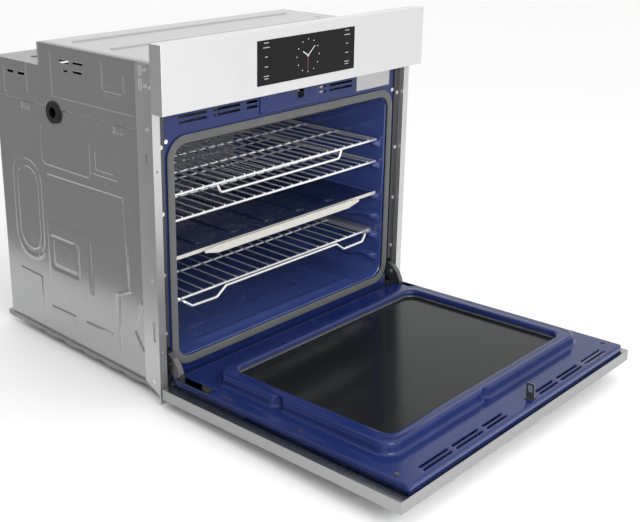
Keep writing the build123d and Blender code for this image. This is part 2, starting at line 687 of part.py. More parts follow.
def panel_bracket():
    z0 = PANEL_Z + 31
    z1 = PANEL_Z + 85
    plate = box(BW + 1.6, BW + 2.8, 1.2, 57, z0, z1)
    tab = box(BW - 14, BW + 2.8, 0.0, 1.2, z0, z1)
    tab = tab - box(BW - 0.1, BW + 1.5, -1, 5, z0 - 1, z1 + 1)
    tab = box(BW + 1.6, HW - 6, 0.0, 1.2, z0, z1)
    cuts = [rod_x(BW - 5, BW + 9, 36, z, 2.0) for z in BRACKET_Z]
    cuts += [slab_x(rrect(12, 28, z0 + 8, z0 + 14, 2.9), BW, BW + 9)]
    return (plate + tab) - cuts


# blower, latch, wiring ----------------------------------------------------------
BLOW_Y = 130.0
BLOW_Z = DECK_Z + 64.0
BLOW_X0 = -200.0
BLOW_X1 = 8.0


def blower_housing():
    x0, x1 = BLOW_X0, BLOW_X1
    z0 = DECK_Z + 0.2
    z1 = HOOD_Z - 13.0
    shell = box(x0, x1, 74, 186, z0, z1)
    shell = shell - box(x0 + 1.2, x1 - 1.2, 75.2, 184.8, z0 + 1.2, z1 - 1.2)
    duct = box(x0, x1, 22, 76, z0, z0 + 30)
    duct = duct - box(x0 + 1.2, x1 - 1.2, 15, 90, z0 + 1.2, z0 + 28.8)
    shell = shell - box(x0 + 1.2, x1 - 1.2, 60, 80, z0 + 1.2, z0 + 28.8)
    shell = shell + duct
    cuts = []
    for i in range(6):
        cuts.append(box(x0 + 14 + i * 33, x0 + 34 + i * 33, 90, 170, z1 - 7, z1 + 8))
    cuts.append(rod_x(x0 - 5, x0 + 5, BLOW_Y, BLOW_Z, 12))
    cuts.append(rod_x(x1 - 5, x1 + 5, BLOW_Y, BLOW_Z, 4.05))
    return shell - cuts


def blower_wheel():
    ends = []
    x0 = BLOW_X0 + 10
    x1 = BLOW_X1 - 10
    for x in (x0, (x0 + x1) / 2, x1 - 2):
        ends.append(rod_x(x, x + 2, BLOW_Y, BLOW_Z, 38))
    shaft = rod_x(x0 - 34, x1 + 15, BLOW_Y, BLOW_Z, 4.0)
    blades = []
    for i in range(16):
        a = 2 * pi * i / 16
        blade = Rot(22.5 * i, 0, 0) * Pos(0, 34, 0) * Rot(35, 0, 0) * Box(x1 - x0, 7, 1)
        blades.append(Pos((x0 + x1) / 2, BLOW_Y, BLOW_Z) * blade)
    return fuse([shaft] + ends + blades)


def blower_motor():
    x1 = BLOW_X0 - 1
    can = rod_x(x1 - 48, x1, BLOW_Y, BLOW_Z, 30)
    foot = box(x1 - 48, x1 - 2, BLOW_Y - 26, BLOW_Y + 26, DECK_Z + 0.1, BLOW_Z - 20)
    return (can + foot) - rod_x(x1 - 30, x1 + 5, BLOW_Y, BLOW_Z, 4.05)


def power_board():
    board = box(215, 330, 230, 370, DECK_Z + 8, DECK_Z + 9.6)
    items = []
    for i, (x, y) in enumerate(((240, 255), (285, 255), (240, 300), (290, 310), (255, 345))):
        items.append(box(x - 12, x + 12, y - 12, y + 12, DECK_Z + 9.5, DECK_Z + 20 + 7 * (i % 3)))
    for x in (221, 324):
        for y in (236, 364):
            items.append(rod_z(DECK_Z + 0.1, DECK_Z + 8.1, x, y, 3))
    return fuse([board] + items)


def latch_motor():
    z = POST_L + DOOR_Z0
    body = box(64, 104, 19, 56, DECK_Z + 0.1, z + 14)
    can = rod_y(56, 78, 84, z, 15)
    return (body + can) - rod_x(60, 95, 29, z, 3.05)


def latch_bolt():
    z = POST_L + DOOR_Z0
    return rod_x(38, 78, 29, z, 3.0) + ball(38, 29, z, 3.0)


def rating_plate():
    face = slab_y(rrect(209, 323, PANEL_Z - 46, PANEL_Z - 10, 2), FRAME_Y - 0.5, FRAME_Y - 0.05)
    return face


def cable_grommet():
    x = -BW
    ring = rod_x(x - 5, x - 0.1, 333, 516, 23) + rod_x(x - 1, x + 8, 333, 516, 18.9)
    ring = ring - rod_x(x - 8, x + 12, 333, 516, 11)
    return ring


def terminal_cover():
    y = BODY_D
    shell = box(200, 300, y + 0.1, y + 26, 480, 560)
    shell = shell - box(201.2, 298.8, y - 1, y + 24.8, 481.2, 558.8)
    shell = shell - rod_z(470, 490, 250, y + 13, 9)
    return shell


# door ---------------------------------------------------------------------------
def door_pan():
    # folded steel front with a return lip round the back
    t = 0.9
    pan = dbox(-HW, HW, 0, DOOR_L, -DOOR_T, 0)
    pan = pan - dbox(-HW + 1.4, HW - 1.4, 1.4, DOOR_L - 1.4, -DOOR_T + t, -1.0)
    pan = pan - dbox(-LINER_X - 1.5, LINER_X + 1.5, LINER_L0 - 1.5, DOOR_L - 2.0, -5, 5)
    pan = pan - dslab(-290, 290, 110, DOOR_L - 120, -DOOR_T - 5, -DOOR_T + 5, 10)
    for x in (-300, 300):
        pan = pan - Pos(x, -(DOOR_L - 50), -DOOR_T) * Cylinder(5.5, 10)
    return open_door(pan)


def outer_glass():
    n = -DOOR_T + 0.95
    return open_door(dslab(-306, 306, 96, DOOR_L - 106, n, n + 4, 6))


def handle_insert(side):
    x = side * 300
    n = -DOOR_T + 0.95
    boss = Pos(x, -(DOOR_L - 50), n + 6) * Cylinder(9, 12)
    # a collar that comes flush with the outside of the steel pan
    boss = boss + Pos(x, -(DOOR_L - 50), n + 5.525) * Cylinder(5.4, 12.95)
    boss = boss - Pos(x, -(DOOR_L - 50), n + 6) * Cylinder(2.5, 30)
    return open_door(boss)


def door_liner():
    t = ENAMEL
    pan = dslab(-LINER_X, LINER_X, LINER_L0, LINER_L1, 0.2, BASE_N, 8)
    pan = pan - dslab(-LINER_X + t, LINER_X - t, LINER_L0 + t, LINER_L1 - t, -5, BASE_N - t, 7)
    ring = dslab(-RING_X, RING_X, RING_L0, RING_L1, BASE_N - t, RING_N, 30)
    ring = fillet(ring.faces().sort_by(Axis.Z)[-1].edges(), 5)
    core = dslab(-RING_X + t, RING_X - t, RING_L0 + t, RING_L1 - t, BASE_N - 5, RING_N - t, 30 - t)
    core = fillet(core.faces().sort_by(Axis.Z)[-1].edges(), 4)
    lip = dslab(-WIN_X - t, WIN_X + t, WIN_L0 - t, WIN_L1 + t, 28, RING_N - t + 0.2, 24)
    hole = dslab(-WIN_X, WIN_X, WIN_L0, WIN_L1, -10, RING_N + 5, 23)
    liner = (pan + ring) - core
    liner = (liner + lip) - hole
    cuts = []
    groups = ((-300, -224), (-208, -133), (-117, -58), (57, 117), (133, 208), (225, 300))
    for row in (25.5, 14.5):
        for x0, x1 in groups:
            cuts.append(dslab(x0, x1, DOOR_L - row - 2.2, DOOR_L - row + 2.2, 10, 25, 2.1))
    for s in (-1, 1):
        x0 = s * (ARM_X0 + ARM_X1) / 2
        cuts.append(dbox(x0 - 9, x0 + 9, -5, 104, -5, 25))
        cuts.append(Pos(s * 341, -(DOOR_L - 37), BASE_N) * Cylinder(2.0, 20))
    liner = liner - cuts
    return open_door(liner)


def inner_glass():
    return open_door(dslab(-286, 286, WIN_L0 - 9, WIN_L1 + 9, 23, 27, 24))


def glass_seal():
    ring = rrect(-285, 285, -(WIN_L1 + 8), -(WIN_L0 - 8), 23)
    ring = ring - rrect(-WIN_X + 3, WIN_X - 3, -(WIN_L1 - 3), -(WIN_L0 + 3), 19)
    return open_door(slab_z(ring, 27.05, 27.95))


def glass_spacer():
    ring = rrect(-286, 286, -(WIN_L1 + 9), -(WIN_L0 - 9), 20)
    ring = ring - rrect(-268, 268, -(WIN_L1 - 9), -(WIN_L0 + 9), 10)
    top = slab_z(ring, 8.0, 22.9)
    pocket = slab_z(rrect(-277, 277, -(WIN_L1), -(WIN_L0), 12), 6, 12.1)
    return open_door(top - pocket)


def mid_glass():
    return open_door(dslab(-276, 276, WIN_L0 + 1, WIN_L1 - 1, 8.0, 12.0, 10))


def door_insulation():
    ring = rrect(-316, 316, -(DOOR_L - 62), -(RING_L0 - 40), 8)
    ring = ring - rrect(-288, 288, -(WIN_L1 + 11), -(WIN_L0 - 11), 8)
    return open_door(slab_z(ring, -16.5, 7.5))


def door_hinge():
    x0 = ARM_X0 - 8
    x1 = ARM_X1 + 8
    cheek_a = dbox(x0, x0 + 3, 4, 200, -21.3, -1.2)
    cheek_b = dbox(x1 - 3, x1, 4, 200, -21.3, -1.2)
    web = dbox(x0, x1, 112, 200, -21.3, -19.8)
    pin = Pos((x0 + x1) / 2, -DOOR_PIVOT_L, DOOR_PIVOT_N) * Rot(0, 90, 0) * Cylinder(PIN_R, x1 - x0 - 1)
    return open_door(fuse([cheek_a, cheek_b, web, pin]))


def latch_strike():
    plate = dbox(POST_X - 1.5, POST_X + 1.5, POST_L - 8, POST_L + 8, BASE_N + 0.1, 48)
    plate = plate - dbox(POST_X - 5, POST_X + 5, POST_L - 4.5, POST_L + 4.5, 31, 44)
    foot = dbox(POST_X - 9, POST_X + 9, POST_L - 8, POST_L + 8, BASE_N + 0.1, BASE_N + 1.6)
    return open_door(plate + foot)


def door_screws():
    out = []
    for s in (-1, 1):
        for l in (DOOR_L - 37, 150.0, 330.0):
            head = Pos(s * 341, -l, BASE_N + 0.9) * Cylinder(4.4, 1.7)
            head = head - Pos(s * 341, -l, BASE_N + 1.6) * Box(5.4, 1, 1.4)
            if l > DOOR_L - 60:
                head = head + Pos(s * 341, -l, BASE_N - 3) * Cylinder(1.9, 7)
            out.append(open_door(head))
    return out


# build --------------------------------------------------------------------------
save("side_panel_right", side_panel())
save("side_panel_left", side_panel_left())
save("rear_panel", rear_panel())
save("rear_lid", rear_lid())
save("hood", hood())
save("base_pan", base_pan())
save("component_deck", component_deck())
save("front_frame", front_frame())
pair("side_bands", side_band)
both("side_trim", side_trim)
pair("hinge_receivers", hinge_receiver)
pair("hinge_arms", hinge_arm)
save("cavity_liner", cavity_liner())
save("door_gasket", door_gasket())
save("insulation_wrap", insulation_wrap())
save("bake_element", bake_element())
save("broil_element", broil_element())
both("fan_cover", fan_cover)
pair("fan_motors", fan_motor)
pair("fan_elements", fan_element)
save("impeller_left", impeller(-FAN_X))
save("impeller_right", impeller(FAN_X))
pair("lamps", lamp)
pair("lamp_lenses", lamp_lens)
save("temperature_probe", temperature_probe())
save("rack_upper", flat_rack(GUIDES[5] + RAIL_R, True))
save("rack_second", flat_rack(GUIDES[4] + RAIL_R, False))
save("divider_shelf", divider_shelf())
save("glide_base", glide_base())
save("glide_rack", glide_rack())
save("panel_frame", panel_frame())
save("touch_glass", touch_glass())
save("display_module", display_module())
save("control_board", control_board())
save("panel_back", panel_back())
pair("panel_brackets", panel_bracket)
save("blower_housing", blower_housing())
save("blower_wheel", blower_wheel())
save("blower_motor", blower_motor())
save("power_board", power_board())
save("latch_motor", latch_motor())
save("latch_bolt", latch_bolt())
save("rating_plate", rating_plate())
save("cable_grommet", cable_grommet())
save("terminal_cover", terminal_cover())
casing_screws = []
for side in (-1, 1):
    for z in (22, 235, 531):
        casing_screws.append(screw_x(side, BW + 1.4, 36, z))
    for z in BRACKET_Z:
        casing_screws.append(screw_x(side, BW + 2.8, 36, z))
    casing_screws.append(screw_y(side * 334, FRAME_Y, PANEL_Z - 60))
    for z in (130, 250, 372, 500):
        casing_screws.append(screw_y(side * 349, FRAME_Y - 3, z))
group("casing_screws", casing_screws)
save("door_pan", door_pan())
save("outer_glass", outer_glass())
group("handle_inserts", [handle_insert(-1), handle_insert(1)])
save("door_liner", door_liner())
save("inner_glass", inner_glass())
save("glass_seal", glass_seal())
save("glass_spacer", glass_spacer())
save("mid_glass", mid_glass())
save("door_insulation", door_insulation())
pair("door_hinges", door_hinge)
save("latch_strike", latch_strike())
group("door_screws", door_screws())
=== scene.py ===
# %% [markdown]
# # A built-in wall oven with its door open
# This lesson dresses a finished mechanical model of a wall oven. The casing, door,
# racks, hinges and fans already have their real sizes and joints, so the work here is
# on what the eye reads: pressed sheet metal, cobalt enamel, braided gasket, brushed
# steel, chrome wire and the lit screen.
# The model is loaded first and its box is kept, so that the end of the script can show
# that nothing has grown.

# %% Load the frame
import math

import bmesh
import bpy
import numpy as np
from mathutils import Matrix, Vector


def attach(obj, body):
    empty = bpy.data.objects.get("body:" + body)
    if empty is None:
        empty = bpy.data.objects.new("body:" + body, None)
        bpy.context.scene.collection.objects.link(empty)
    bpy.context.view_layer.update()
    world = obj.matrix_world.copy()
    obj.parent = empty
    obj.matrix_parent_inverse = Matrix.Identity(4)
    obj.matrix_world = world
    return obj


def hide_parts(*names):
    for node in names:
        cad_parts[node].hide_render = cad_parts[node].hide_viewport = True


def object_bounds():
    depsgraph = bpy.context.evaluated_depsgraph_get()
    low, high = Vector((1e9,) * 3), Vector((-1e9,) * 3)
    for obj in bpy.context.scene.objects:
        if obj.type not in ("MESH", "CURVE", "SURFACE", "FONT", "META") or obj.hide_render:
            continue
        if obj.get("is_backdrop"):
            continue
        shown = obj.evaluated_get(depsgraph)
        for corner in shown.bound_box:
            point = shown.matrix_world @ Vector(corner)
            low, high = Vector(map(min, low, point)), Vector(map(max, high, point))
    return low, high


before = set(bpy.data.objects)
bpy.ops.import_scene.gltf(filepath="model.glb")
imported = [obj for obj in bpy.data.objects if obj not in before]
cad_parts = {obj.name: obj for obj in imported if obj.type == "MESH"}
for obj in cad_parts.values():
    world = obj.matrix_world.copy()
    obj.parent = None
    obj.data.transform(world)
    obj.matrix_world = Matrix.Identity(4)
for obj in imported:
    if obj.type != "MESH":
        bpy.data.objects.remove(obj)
cad_box = [list(corner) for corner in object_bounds()]
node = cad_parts
print("nodes", len(node), "box", [[round(c, 3) for c in corner] for corner in cad_box])

# %% [markdown]
# ## Sizes that the new pieces share
# All pieces are worked out in millimetres above the cabinet shelf, because that is how
# an oven is drawn. One function turns such points into the frame's metres. The open
# door leans a little above level about its hinge pin, so a second function takes
# points in the door's own length, depth and width.

# %% Places
HANG = 280.0
PIN_Y, PIN_Z, PIN_L, PIN_N = -27.5, 9.5, 20.0, -18.3
DOOR_TILT = math.radians(2.14)
CASE_X = 358.0
CAV_X, CAV_Z0, CAV_Z1, CAV_Y0, CAV_REAR = 317.0, 64.0, 497.0, 16.2, 481.2
GUIDES = (113.0, 165.0, 213.0, 262.0, 337.5, 389.5)
PANEL_Z, PANEL_Y = 568.0, -31.6


def in_frame(x, y, z):
    """Millimetres above the shelf, as arrays, to frame metres, stacked on a last axis."""
    x, y, z = np.broadcast_arrays(x, y, z)
    return np.stack([x, y, z - HANG], -1) * 0.001


def on_door(x, l, n):
    """Width x, length l from the hinge end and depth n above the steel pan, turned about the pin."""
    back, up = PIN_L - l, n - PIN_N
    c, s = math.cos(DOOR_TILT), math.sin(DOOR_TILT)
    return in_frame(x, back * c + up * s + PIN_Y, up * c - back * s + PIN_Z)


# %% [markdown]
# ## The camera
# The oven is seen from the front left, a little above the panel. A long lens keeps the
# uprights nearly parallel, and a small shift frames the open door in the lower right.

# %% Camera
lens_px = 1028.6
place = (-1504.7, -1396.0, 411.1 + PANEL_Z)
yaw, pitch = 0.7872, 0.3101
camera = bpy.data.cameras.new("camera")
camera.sensor_width = 36.0
camera.lens = 36.0 * lens_px / 640.0
camera.shift_x = 60.0 / 640.0
camera.shift_y = -60.0 / 640.0
camera.clip_end = 50.0
viewer = bpy.data.objects.new("camera", camera)
viewer.location = Vector(in_frame(*place))
look = Vector((math.sin(yaw) * math.cos(pitch), math.cos(yaw) * math.cos(pitch), -math.sin(pitch)))
viewer.rotation_mode = "QUATERNION"
viewer.rotation_quaternion = look.to_track_quat("-Z", "Y")
bpy.context.scene.collection.objects.link(viewer)
bpy.context.scene.camera = viewer
print("lens mm", round(camera.lens, 1))

# %% [markdown]
# ## Studio
# A product of steel and enamel is lit by what it mirrors. The world is a pale room that
# is darker at the rear left, as if a grey card stood there. A flat left wall mirrors the
# card, while the slopes of its beads mirror the bright front, so they stand out.
# Large soft panels overhead and in front add the highlights. The floor is a plain pale
# plane just under the side trims, and it ends soon after the oven's left side.

# %% Lights and floor
world = bpy.data.worlds.new("studio")
world.use_nodes = True
sky = world.node_tree
facing = sky.nodes.new("ShaderNodeTexCoord")
toward = sky.nodes.new("ShaderNodeVectorMath")
toward.operation = "DOT_PRODUCT"
toward.inputs[1].default_value = (-0.78, 0.62, 0.0)
card = sky.nodes.new("ShaderNodeMapRange")
card.interpolation_type = "SMOOTHSTEP"
card.inputs["From Min"].default_value, card.inputs["From Max"].default_value = 0.45, 0.85
card.inputs["To Min"].default_value, card.inputs["To Max"].default_value = 1.06, 0.34
sky.links.new(facing.outputs["Generated"], toward.inputs[0])
sky.links.new(toward.outputs["Value"], card.inputs["Value"])
sky.links.new(card.outputs[0], sky.nodes["Background"].inputs["Strength"])
sky.nodes["Background"].inputs["Color"].default_value = (1.0, 1.0, 1.0, 1.0)
bpy.context.scene.world = world
bpy.context.scene.view_settings.view_transform = "Standard"


def soft_panel(name, at, aim, width, height, power):
    """A rectangular area light at one point that faces another."""
    light = bpy.data.lights.new(name, "AREA")
    light.shape = "RECTANGLE"
    light.size, light.size_y, light.energy = width, height, power
    lamp = bpy.data.objects.new(name, light)
    lamp.location = at
    lamp.rotation_mode = "QUATERNION"
    lamp.rotation_quaternion = (Vector(aim) - Vector(at)).to_track_quat("-Z", "Y")
    bpy.context.scene.collection.objects.link(lamp)


soft_panel("overhead", (0.2, -1.0, 2.4), (0.0, -0.2, 0.0), 2.6, 1.8, 6.0)
soft_panel("front", (0.6, -3.0, 1.2), (0.0, 0.0, 0.1), 2.0, 1.4, 6.0)
soft_panel("cavity", (-0.75, -1.7, 0.75), (0.1, 0.3, 0.0), 0.9, 0.7, 16.0)
soft_panel("side", (-1.9, -0.9, 1.7), (-0.3, 0.3, 0.0), 0.5, 1.0, 1.5)


FLOOR_LEFT, FLOOR_EDGE = -0.62, 8.0
low = cad_box[0][2] - 0.002
corners = [(FLOOR_LEFT, -FLOOR_EDGE), (FLOOR_EDGE, -FLOOR_EDGE)]
corners += [(FLOOR_EDGE, FLOOR_EDGE), (FLOOR_LEFT, FLOOR_EDGE)]
plane = bpy.data.meshes.new("floor")
plane.from_pydata([(x, y, low) for x, y in corners], [], [(0, 1, 2, 3)])
plane.polygons.foreach_set("use_smooth", [True])
floor = bpy.data.objects.new("floor", plane)
bpy.context.scene.collection.objects.link(floor)
floor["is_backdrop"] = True

# %% [markdown]
# ## Shared effects
# Four effects come back in many finishes, so each is a node group with its own inputs:
# drawn lines for brushed metal, the crystal spangle of zinc, the faint ripple of fired
# enamel or paint, and a film of handling marks that shifts the roughness.

# %% Group helper
def effect(name, inputs, outputs):
    """A shader group with float inputs {name: default} and outputs {name: socket type}."""
    group = bpy.data.node_groups.new(name, "ShaderNodeTree")
    for label, value in inputs.items():
        kind = "NodeSocketColor" if isinstance(value, tuple) else "NodeSocketFloat"
        socket = group.interface.new_socket(label, in_out="INPUT", socket_type=kind)
        socket.default_value = value
    for label, kind in outputs.items():
        group.interface.new_socket(label, in_out="OUTPUT", socket_type=kind)
    entry = group.nodes.new("NodeGroupInput")
    leave = group.nodes.new("NodeGroupOutput")
    return group, entry, leave


def step(tree, kind, **values):
    """A node with properties by name and socket values by input name or number."""
    made = tree.nodes.new(kind)
    for key, value in values.items():
        if hasattr(made, key):
            setattr(made, key, value)
        else:
            made.inputs[key].default_value = value
    return made


# %% Drawn lines of brushed metal
lines, entry, leave = effect(
    "brushed_lines",
    {"Along X": 1.0, "Along Y": 60.0, "Along Z": 60.0, "Contrast": 0.5, "Low": 0.2, "High": 0.4},
    {"Height": "NodeSocketFloat", "Roughness": "NodeSocketFloat"},
)
where = step(lines, "ShaderNodeTexCoord")
scale = step(lines, "ShaderNodeCombineXYZ")
for axis in "XYZ":
    lines.links.new(entry.outputs["Along " + axis], scale.inputs[axis])
stretch = step(lines, "ShaderNodeVectorMath", operation="MULTIPLY")
lines.links.new(where.outputs["Object"], stretch.inputs[0])
lines.links.new(scale.outputs[0], stretch.inputs[1])
fine = step(lines, "ShaderNodeTexNoise", Scale=14.0, Detail=4.0, Roughness=0.65)
lines.links.new(stretch.outputs[0], fine.inputs["Vector"])
spread = step(lines, "ShaderNodeMapRange")
lines.links.new(fine.outputs["Fac"], spread.inputs["Value"])
spread.inputs["From Min"].default_value, spread.inputs["From Max"].default_value = 0.3, 0.7
lines.links.new(entry.outputs["Low"], spread.inputs["To Min"])
lines.links.new(entry.outputs["High"], spread.inputs["To Max"])
lines.links.new(spread.outputs[0], leave.inputs["Roughness"])
weigh = step(lines, "ShaderNodeMath", operation="MULTIPLY")
lines.links.new(fine.outputs["Fac"], weigh.inputs[0])
lines.links.new(entry.outputs["Contrast"], weigh.inputs[1])
lines.links.new(weigh.outputs[0], leave.inputs["Height"])

# %% Spangle of hot-dip zinc
spangle, entry, leave = effect(
    "zinc_spangle",
    {
        "Grain": 90.0, "Low": 0.28, "High": 0.46,
        "Light": (0.6, 0.6, 0.62, 1.0), "Dark": (0.4, 0.4, 0.42, 1.0),
    },
    {"Color": "NodeSocketColor", "Roughness": "NodeSocketFloat"},
)
where = step(spangle, "ShaderNodeTexCoord")
warp = step(spangle, "ShaderNodeTexNoise", Scale=30.0, Detail=2.0)
spangle.links.new(where.outputs["Object"], warp.inputs["Vector"])
push = step(spangle, "ShaderNodeVectorMath", operation="MULTIPLY_ADD")
push.inputs[1].default_value = (0.02, 0.02, 0.02)
spangle.links.new(warp.outputs["Color"], push.inputs[0])
spangle.links.new(where.outputs["Object"], push.inputs[2])
cells = step(spangle, "ShaderNodeTexVoronoi")
spangle.links.new(entry.outputs["Grain"], cells.inputs["Scale"])
spangle.links.new(push.outputs[0], cells.inputs["Vector"])
split = step(spangle, "ShaderNodeSeparateColor")
spangle.links.new(cells.outputs["Color"], split.inputs[0])
broad = step(spangle, "ShaderNodeTexNoise", Scale=5.0, Detail=3.0)
spangle.links.new(where.outputs["Object"], broad.inputs["Vector"])
both = step(spangle, "ShaderNodeMath", operation="MULTIPLY_ADD")
both.inputs[1].default_value = 0.25
spangle.links.new(split.outputs[0], both.inputs[0])
spangle.links.new(broad.outputs["Fac"], both.inputs[2])
tone = step(spangle, "ShaderNodeMix", data_type="RGBA")
spangle.links.new(both.outputs[0], tone.inputs["Factor"])
spangle.links.new(entry.outputs["Dark"], tone.inputs[6])
spangle.links.new(entry.outputs["Light"], tone.inputs[7])
spangle.links.new(tone.outputs[2], leave.inputs["Color"])
sheen = step(spangle, "ShaderNodeMapRange")
spangle.links.new(split.outputs[1], sheen.inputs["Value"])
spangle.links.new(entry.outputs["Low"], sheen.inputs["To Min"])
spangle.links.new(entry.outputs["High"], sheen.inputs["To Max"])
spangle.links.new(sheen.outputs[0], leave.inputs["Roughness"])

# %% Ripple of a fired or sprayed coat
ripple, entry, leave = effect(
    "coat_ripple",
    {
        "Grain": 160.0, "Height": 1.0,
        "Colour A": (0.02, 0.04, 0.16, 1.0), "Colour B": (0.03, 0.06, 0.22, 1.0),
    },
    {"Color": "NodeSocketColor", "Height": "NodeSocketFloat"},
)
where = step(ripple, "ShaderNodeTexCoord")
peel = step(ripple, "ShaderNodeTexNoise", Detail=2.0)
ripple.links.new(where.outputs["Object"], peel.inputs["Vector"])
ripple.links.new(entry.outputs["Grain"], peel.inputs["Scale"])
tall = step(ripple, "ShaderNodeMath", operation="MULTIPLY")
ripple.links.new(peel.outputs["Fac"], tall.inputs[0])
ripple.links.new(entry.outputs["Height"], tall.inputs[1])
ripple.links.new(tall.outputs[0], leave.inputs["Height"])
cloud = step(ripple, "ShaderNodeTexNoise", Scale=9.0, Detail=5.0)
ripple.links.new(where.outputs["Object"], cloud.inputs["Vector"])
mixed = step(ripple, "ShaderNodeMix", data_type="RGBA")
ripple.links.new(cloud.outputs["Fac"], mixed.inputs["Factor"])
ripple.links.new(entry.outputs["Colour A"], mixed.inputs[6])
ripple.links.new(entry.outputs["Colour B"], mixed.inputs[7])
ripple.links.new(mixed.outputs[2], leave.inputs["Color"])

# %% Handling film
film, entry, leave = effect(
    "handling_film",
    {"Clean": 0.1, "Marked": 0.25, "Size": 6.0},
    {"Roughness": "NodeSocketFloat"},
)
where = step(film, "ShaderNodeTexCoord")
smear = step(film, "ShaderNodeTexNoise", Detail=6.0, Roughness=0.7, Distortion=0.6)
film.links.new(where.outputs["Object"], smear.inputs["Vector"])
film.links.new(entry.outputs["Size"], smear.inputs["Scale"])
mask = step(film, "ShaderNodeMapRange")
mask.inputs["From Min"].default_value, mask.inputs["From Max"].default_value = 0.42, 0.72
film.links.new(smear.outputs["Fac"], mask.inputs["Value"])
rough = step(film, "ShaderNodeMapRange")
film.links.new(mask.outputs[0], rough.inputs["Value"])
film.links.new(entry.outputs["Clean"], rough.inputs["To Min"])
film.links.new(entry.outputs["Marked"], rough.inputs["To Max"])
film.links.new(rough.outputs[0], leave.inputs["Roughness"])
print("effects", [g.name for g in bpy.data.node_groups])

# %% [markdown]
# ## Finishes
# Each finish is one Principled shader. Plain numbers sit on its own sockets, and only
# what changes over the surface comes through the groups. A bump node turns a group's
# height into a normal at the depth that the real coat has.

# %% Finish helper
def finish(name, metallic=0.0, **plain):
    """A new material with its Principled shader, and plain values on that shader's sockets."""
    made = bpy.data.materials.new(name)
    made.use_nodes = True
    tree = made.node_tree
    shader = tree.nodes["Principled BSDF"]
    shader.inputs["Metallic"].default_value = metallic
    for key, value in plain.items():
        shader.inputs[key.replace("_", " ")].default_value = value
    return made, tree, shader


def use(tree, group, **values):
    placed = tree.nodes.new("ShaderNodeGroup")
    placed.node_tree = group
    for key, value in values.items():
        placed.inputs[key.replace("_", " ")].default_value = value
    return placed


def bump(tree, shader, source, depth, strength=1.0):
    made = step(tree, "ShaderNodeBump", Strength=strength, Distance=depth)
    tree.links.new(source, made.inputs["Height"])
    tree.links.new(made.outputs[0], shader.inputs["Normal"])


# %% Metals
def brushed(name, colour, along, low, high, depth=0.00004):
    """Brushed sheet: the drawn lines set both the roughness and a shallow bump."""
    made, tree, shader = finish(name, metallic=1.0, Base_Color=colour)
    drawn = use(tree, lines, Along_X=along[0], Along_Y=along[1], Along_Z=along[2], Low=low, High=high)
    tree.links.new(drawn.outputs["Roughness"], shader.inputs["Roughness"])
    bump(tree, shader, drawn.outputs["Height"], depth, 0.4)
    return made


def zinc_sheet(name, light, dark, low, high, grain=70.0):
    made, tree, shader = finish(name, metallic=0.85)
    coat = use(tree, spangle, Light=light, Dark=dark, Low=low, High=high, Grain=grain)
    tree.links.new(coat.outputs["Color"], shader.inputs["Base Color"])
    tree.links.new(coat.outputs["Roughness"], shader.inputs["Roughness"])
    return made


panel_steel = brushed("panel_steel", (0.74, 0.74, 0.745, 1), (1.0, 40.0, 90.0), 0.30, 0.42)
door_steel = brushed("door_steel", (0.35, 0.35, 0.354, 1), (1.0, 60.0, 60.0), 0.24, 0.38)
probe_steel = brushed("probe_steel", (0.62, 0.62, 0.63, 1), (30.0, 1.0, 30.0), 0.18, 0.30)
plate_foil = brushed("plate_foil", (0.50, 0.50, 0.51, 1), (1.0, 20.0, 60.0), 0.25, 0.36)
case_zinc = zinc_sheet("case_zinc", (0.43, 0.43, 0.437, 1), (0.41, 0.41, 0.417, 1), 0.19, 0.22)
rear_zinc = zinc_sheet("rear_zinc", (0.27, 0.27, 0.277, 1), (0.25, 0.25, 0.257, 1), 0.27, 0.31)
inner_zinc = zinc_sheet("inner_zinc", (0.62, 0.62, 0.64, 1), (0.46, 0.46, 0.48, 1), 0.30, 0.46, 110.0)
bright_zinc = zinc_sheet("bright_zinc", (0.86, 0.85, 0.82, 1), (0.70, 0.69, 0.66, 1), 0.12, 0.26, 300.0)
arm_steel = zinc_sheet("arm_steel", (0.16, 0.16, 0.165, 1), (0.10, 0.10, 0.105, 1), 0.30, 0.45, 300.0)
cast_metal = zinc_sheet("cast_metal", (0.56, 0.56, 0.57, 1), (0.42, 0.42, 0.43, 1), 0.45, 0.62, 500.0)

# %% Chrome wire
chrome_wire, tree, shader = finish("chrome_wire", metallic=0.7, Base_Color=(0.90, 0.90, 0.90, 1))
marks = use(tree, film, Clean=0.12, Marked=0.24, Size=20.0)
tree.links.new(marks.outputs["Roughness"], shader.inputs["Roughness"])

# %% Enamel and paint
COAT_DEPTH = 0.00006


def coated(name, dark, light, clean, marked, grain=160.0, coat=0.6, metallic=0.0, specular=0.5):
    """A gloss coat over steel: two close tones, a slow ripple and a film of marks."""
    made, tree, shader = finish(
        name, metallic=metallic, Coat_Weight=coat, Coat_Roughness=0.04, Specular_IOR_Level=specular
    )
    fired = use(tree, ripple, Grain=grain)
    fired.inputs["Colour A"].default_value = dark
    fired.inputs["Colour B"].default_value = light
    tree.links.new(fired.outputs["Color"], shader.inputs["Base Color"])
    marks = use(tree, film, Clean=clean, Marked=marked, Size=7.0)
    tree.links.new(marks.outputs["Roughness"], shader.inputs["Roughness"])
    bump(tree, shader, fired.outputs["Height"], COAT_DEPTH, 0.5)
    return made


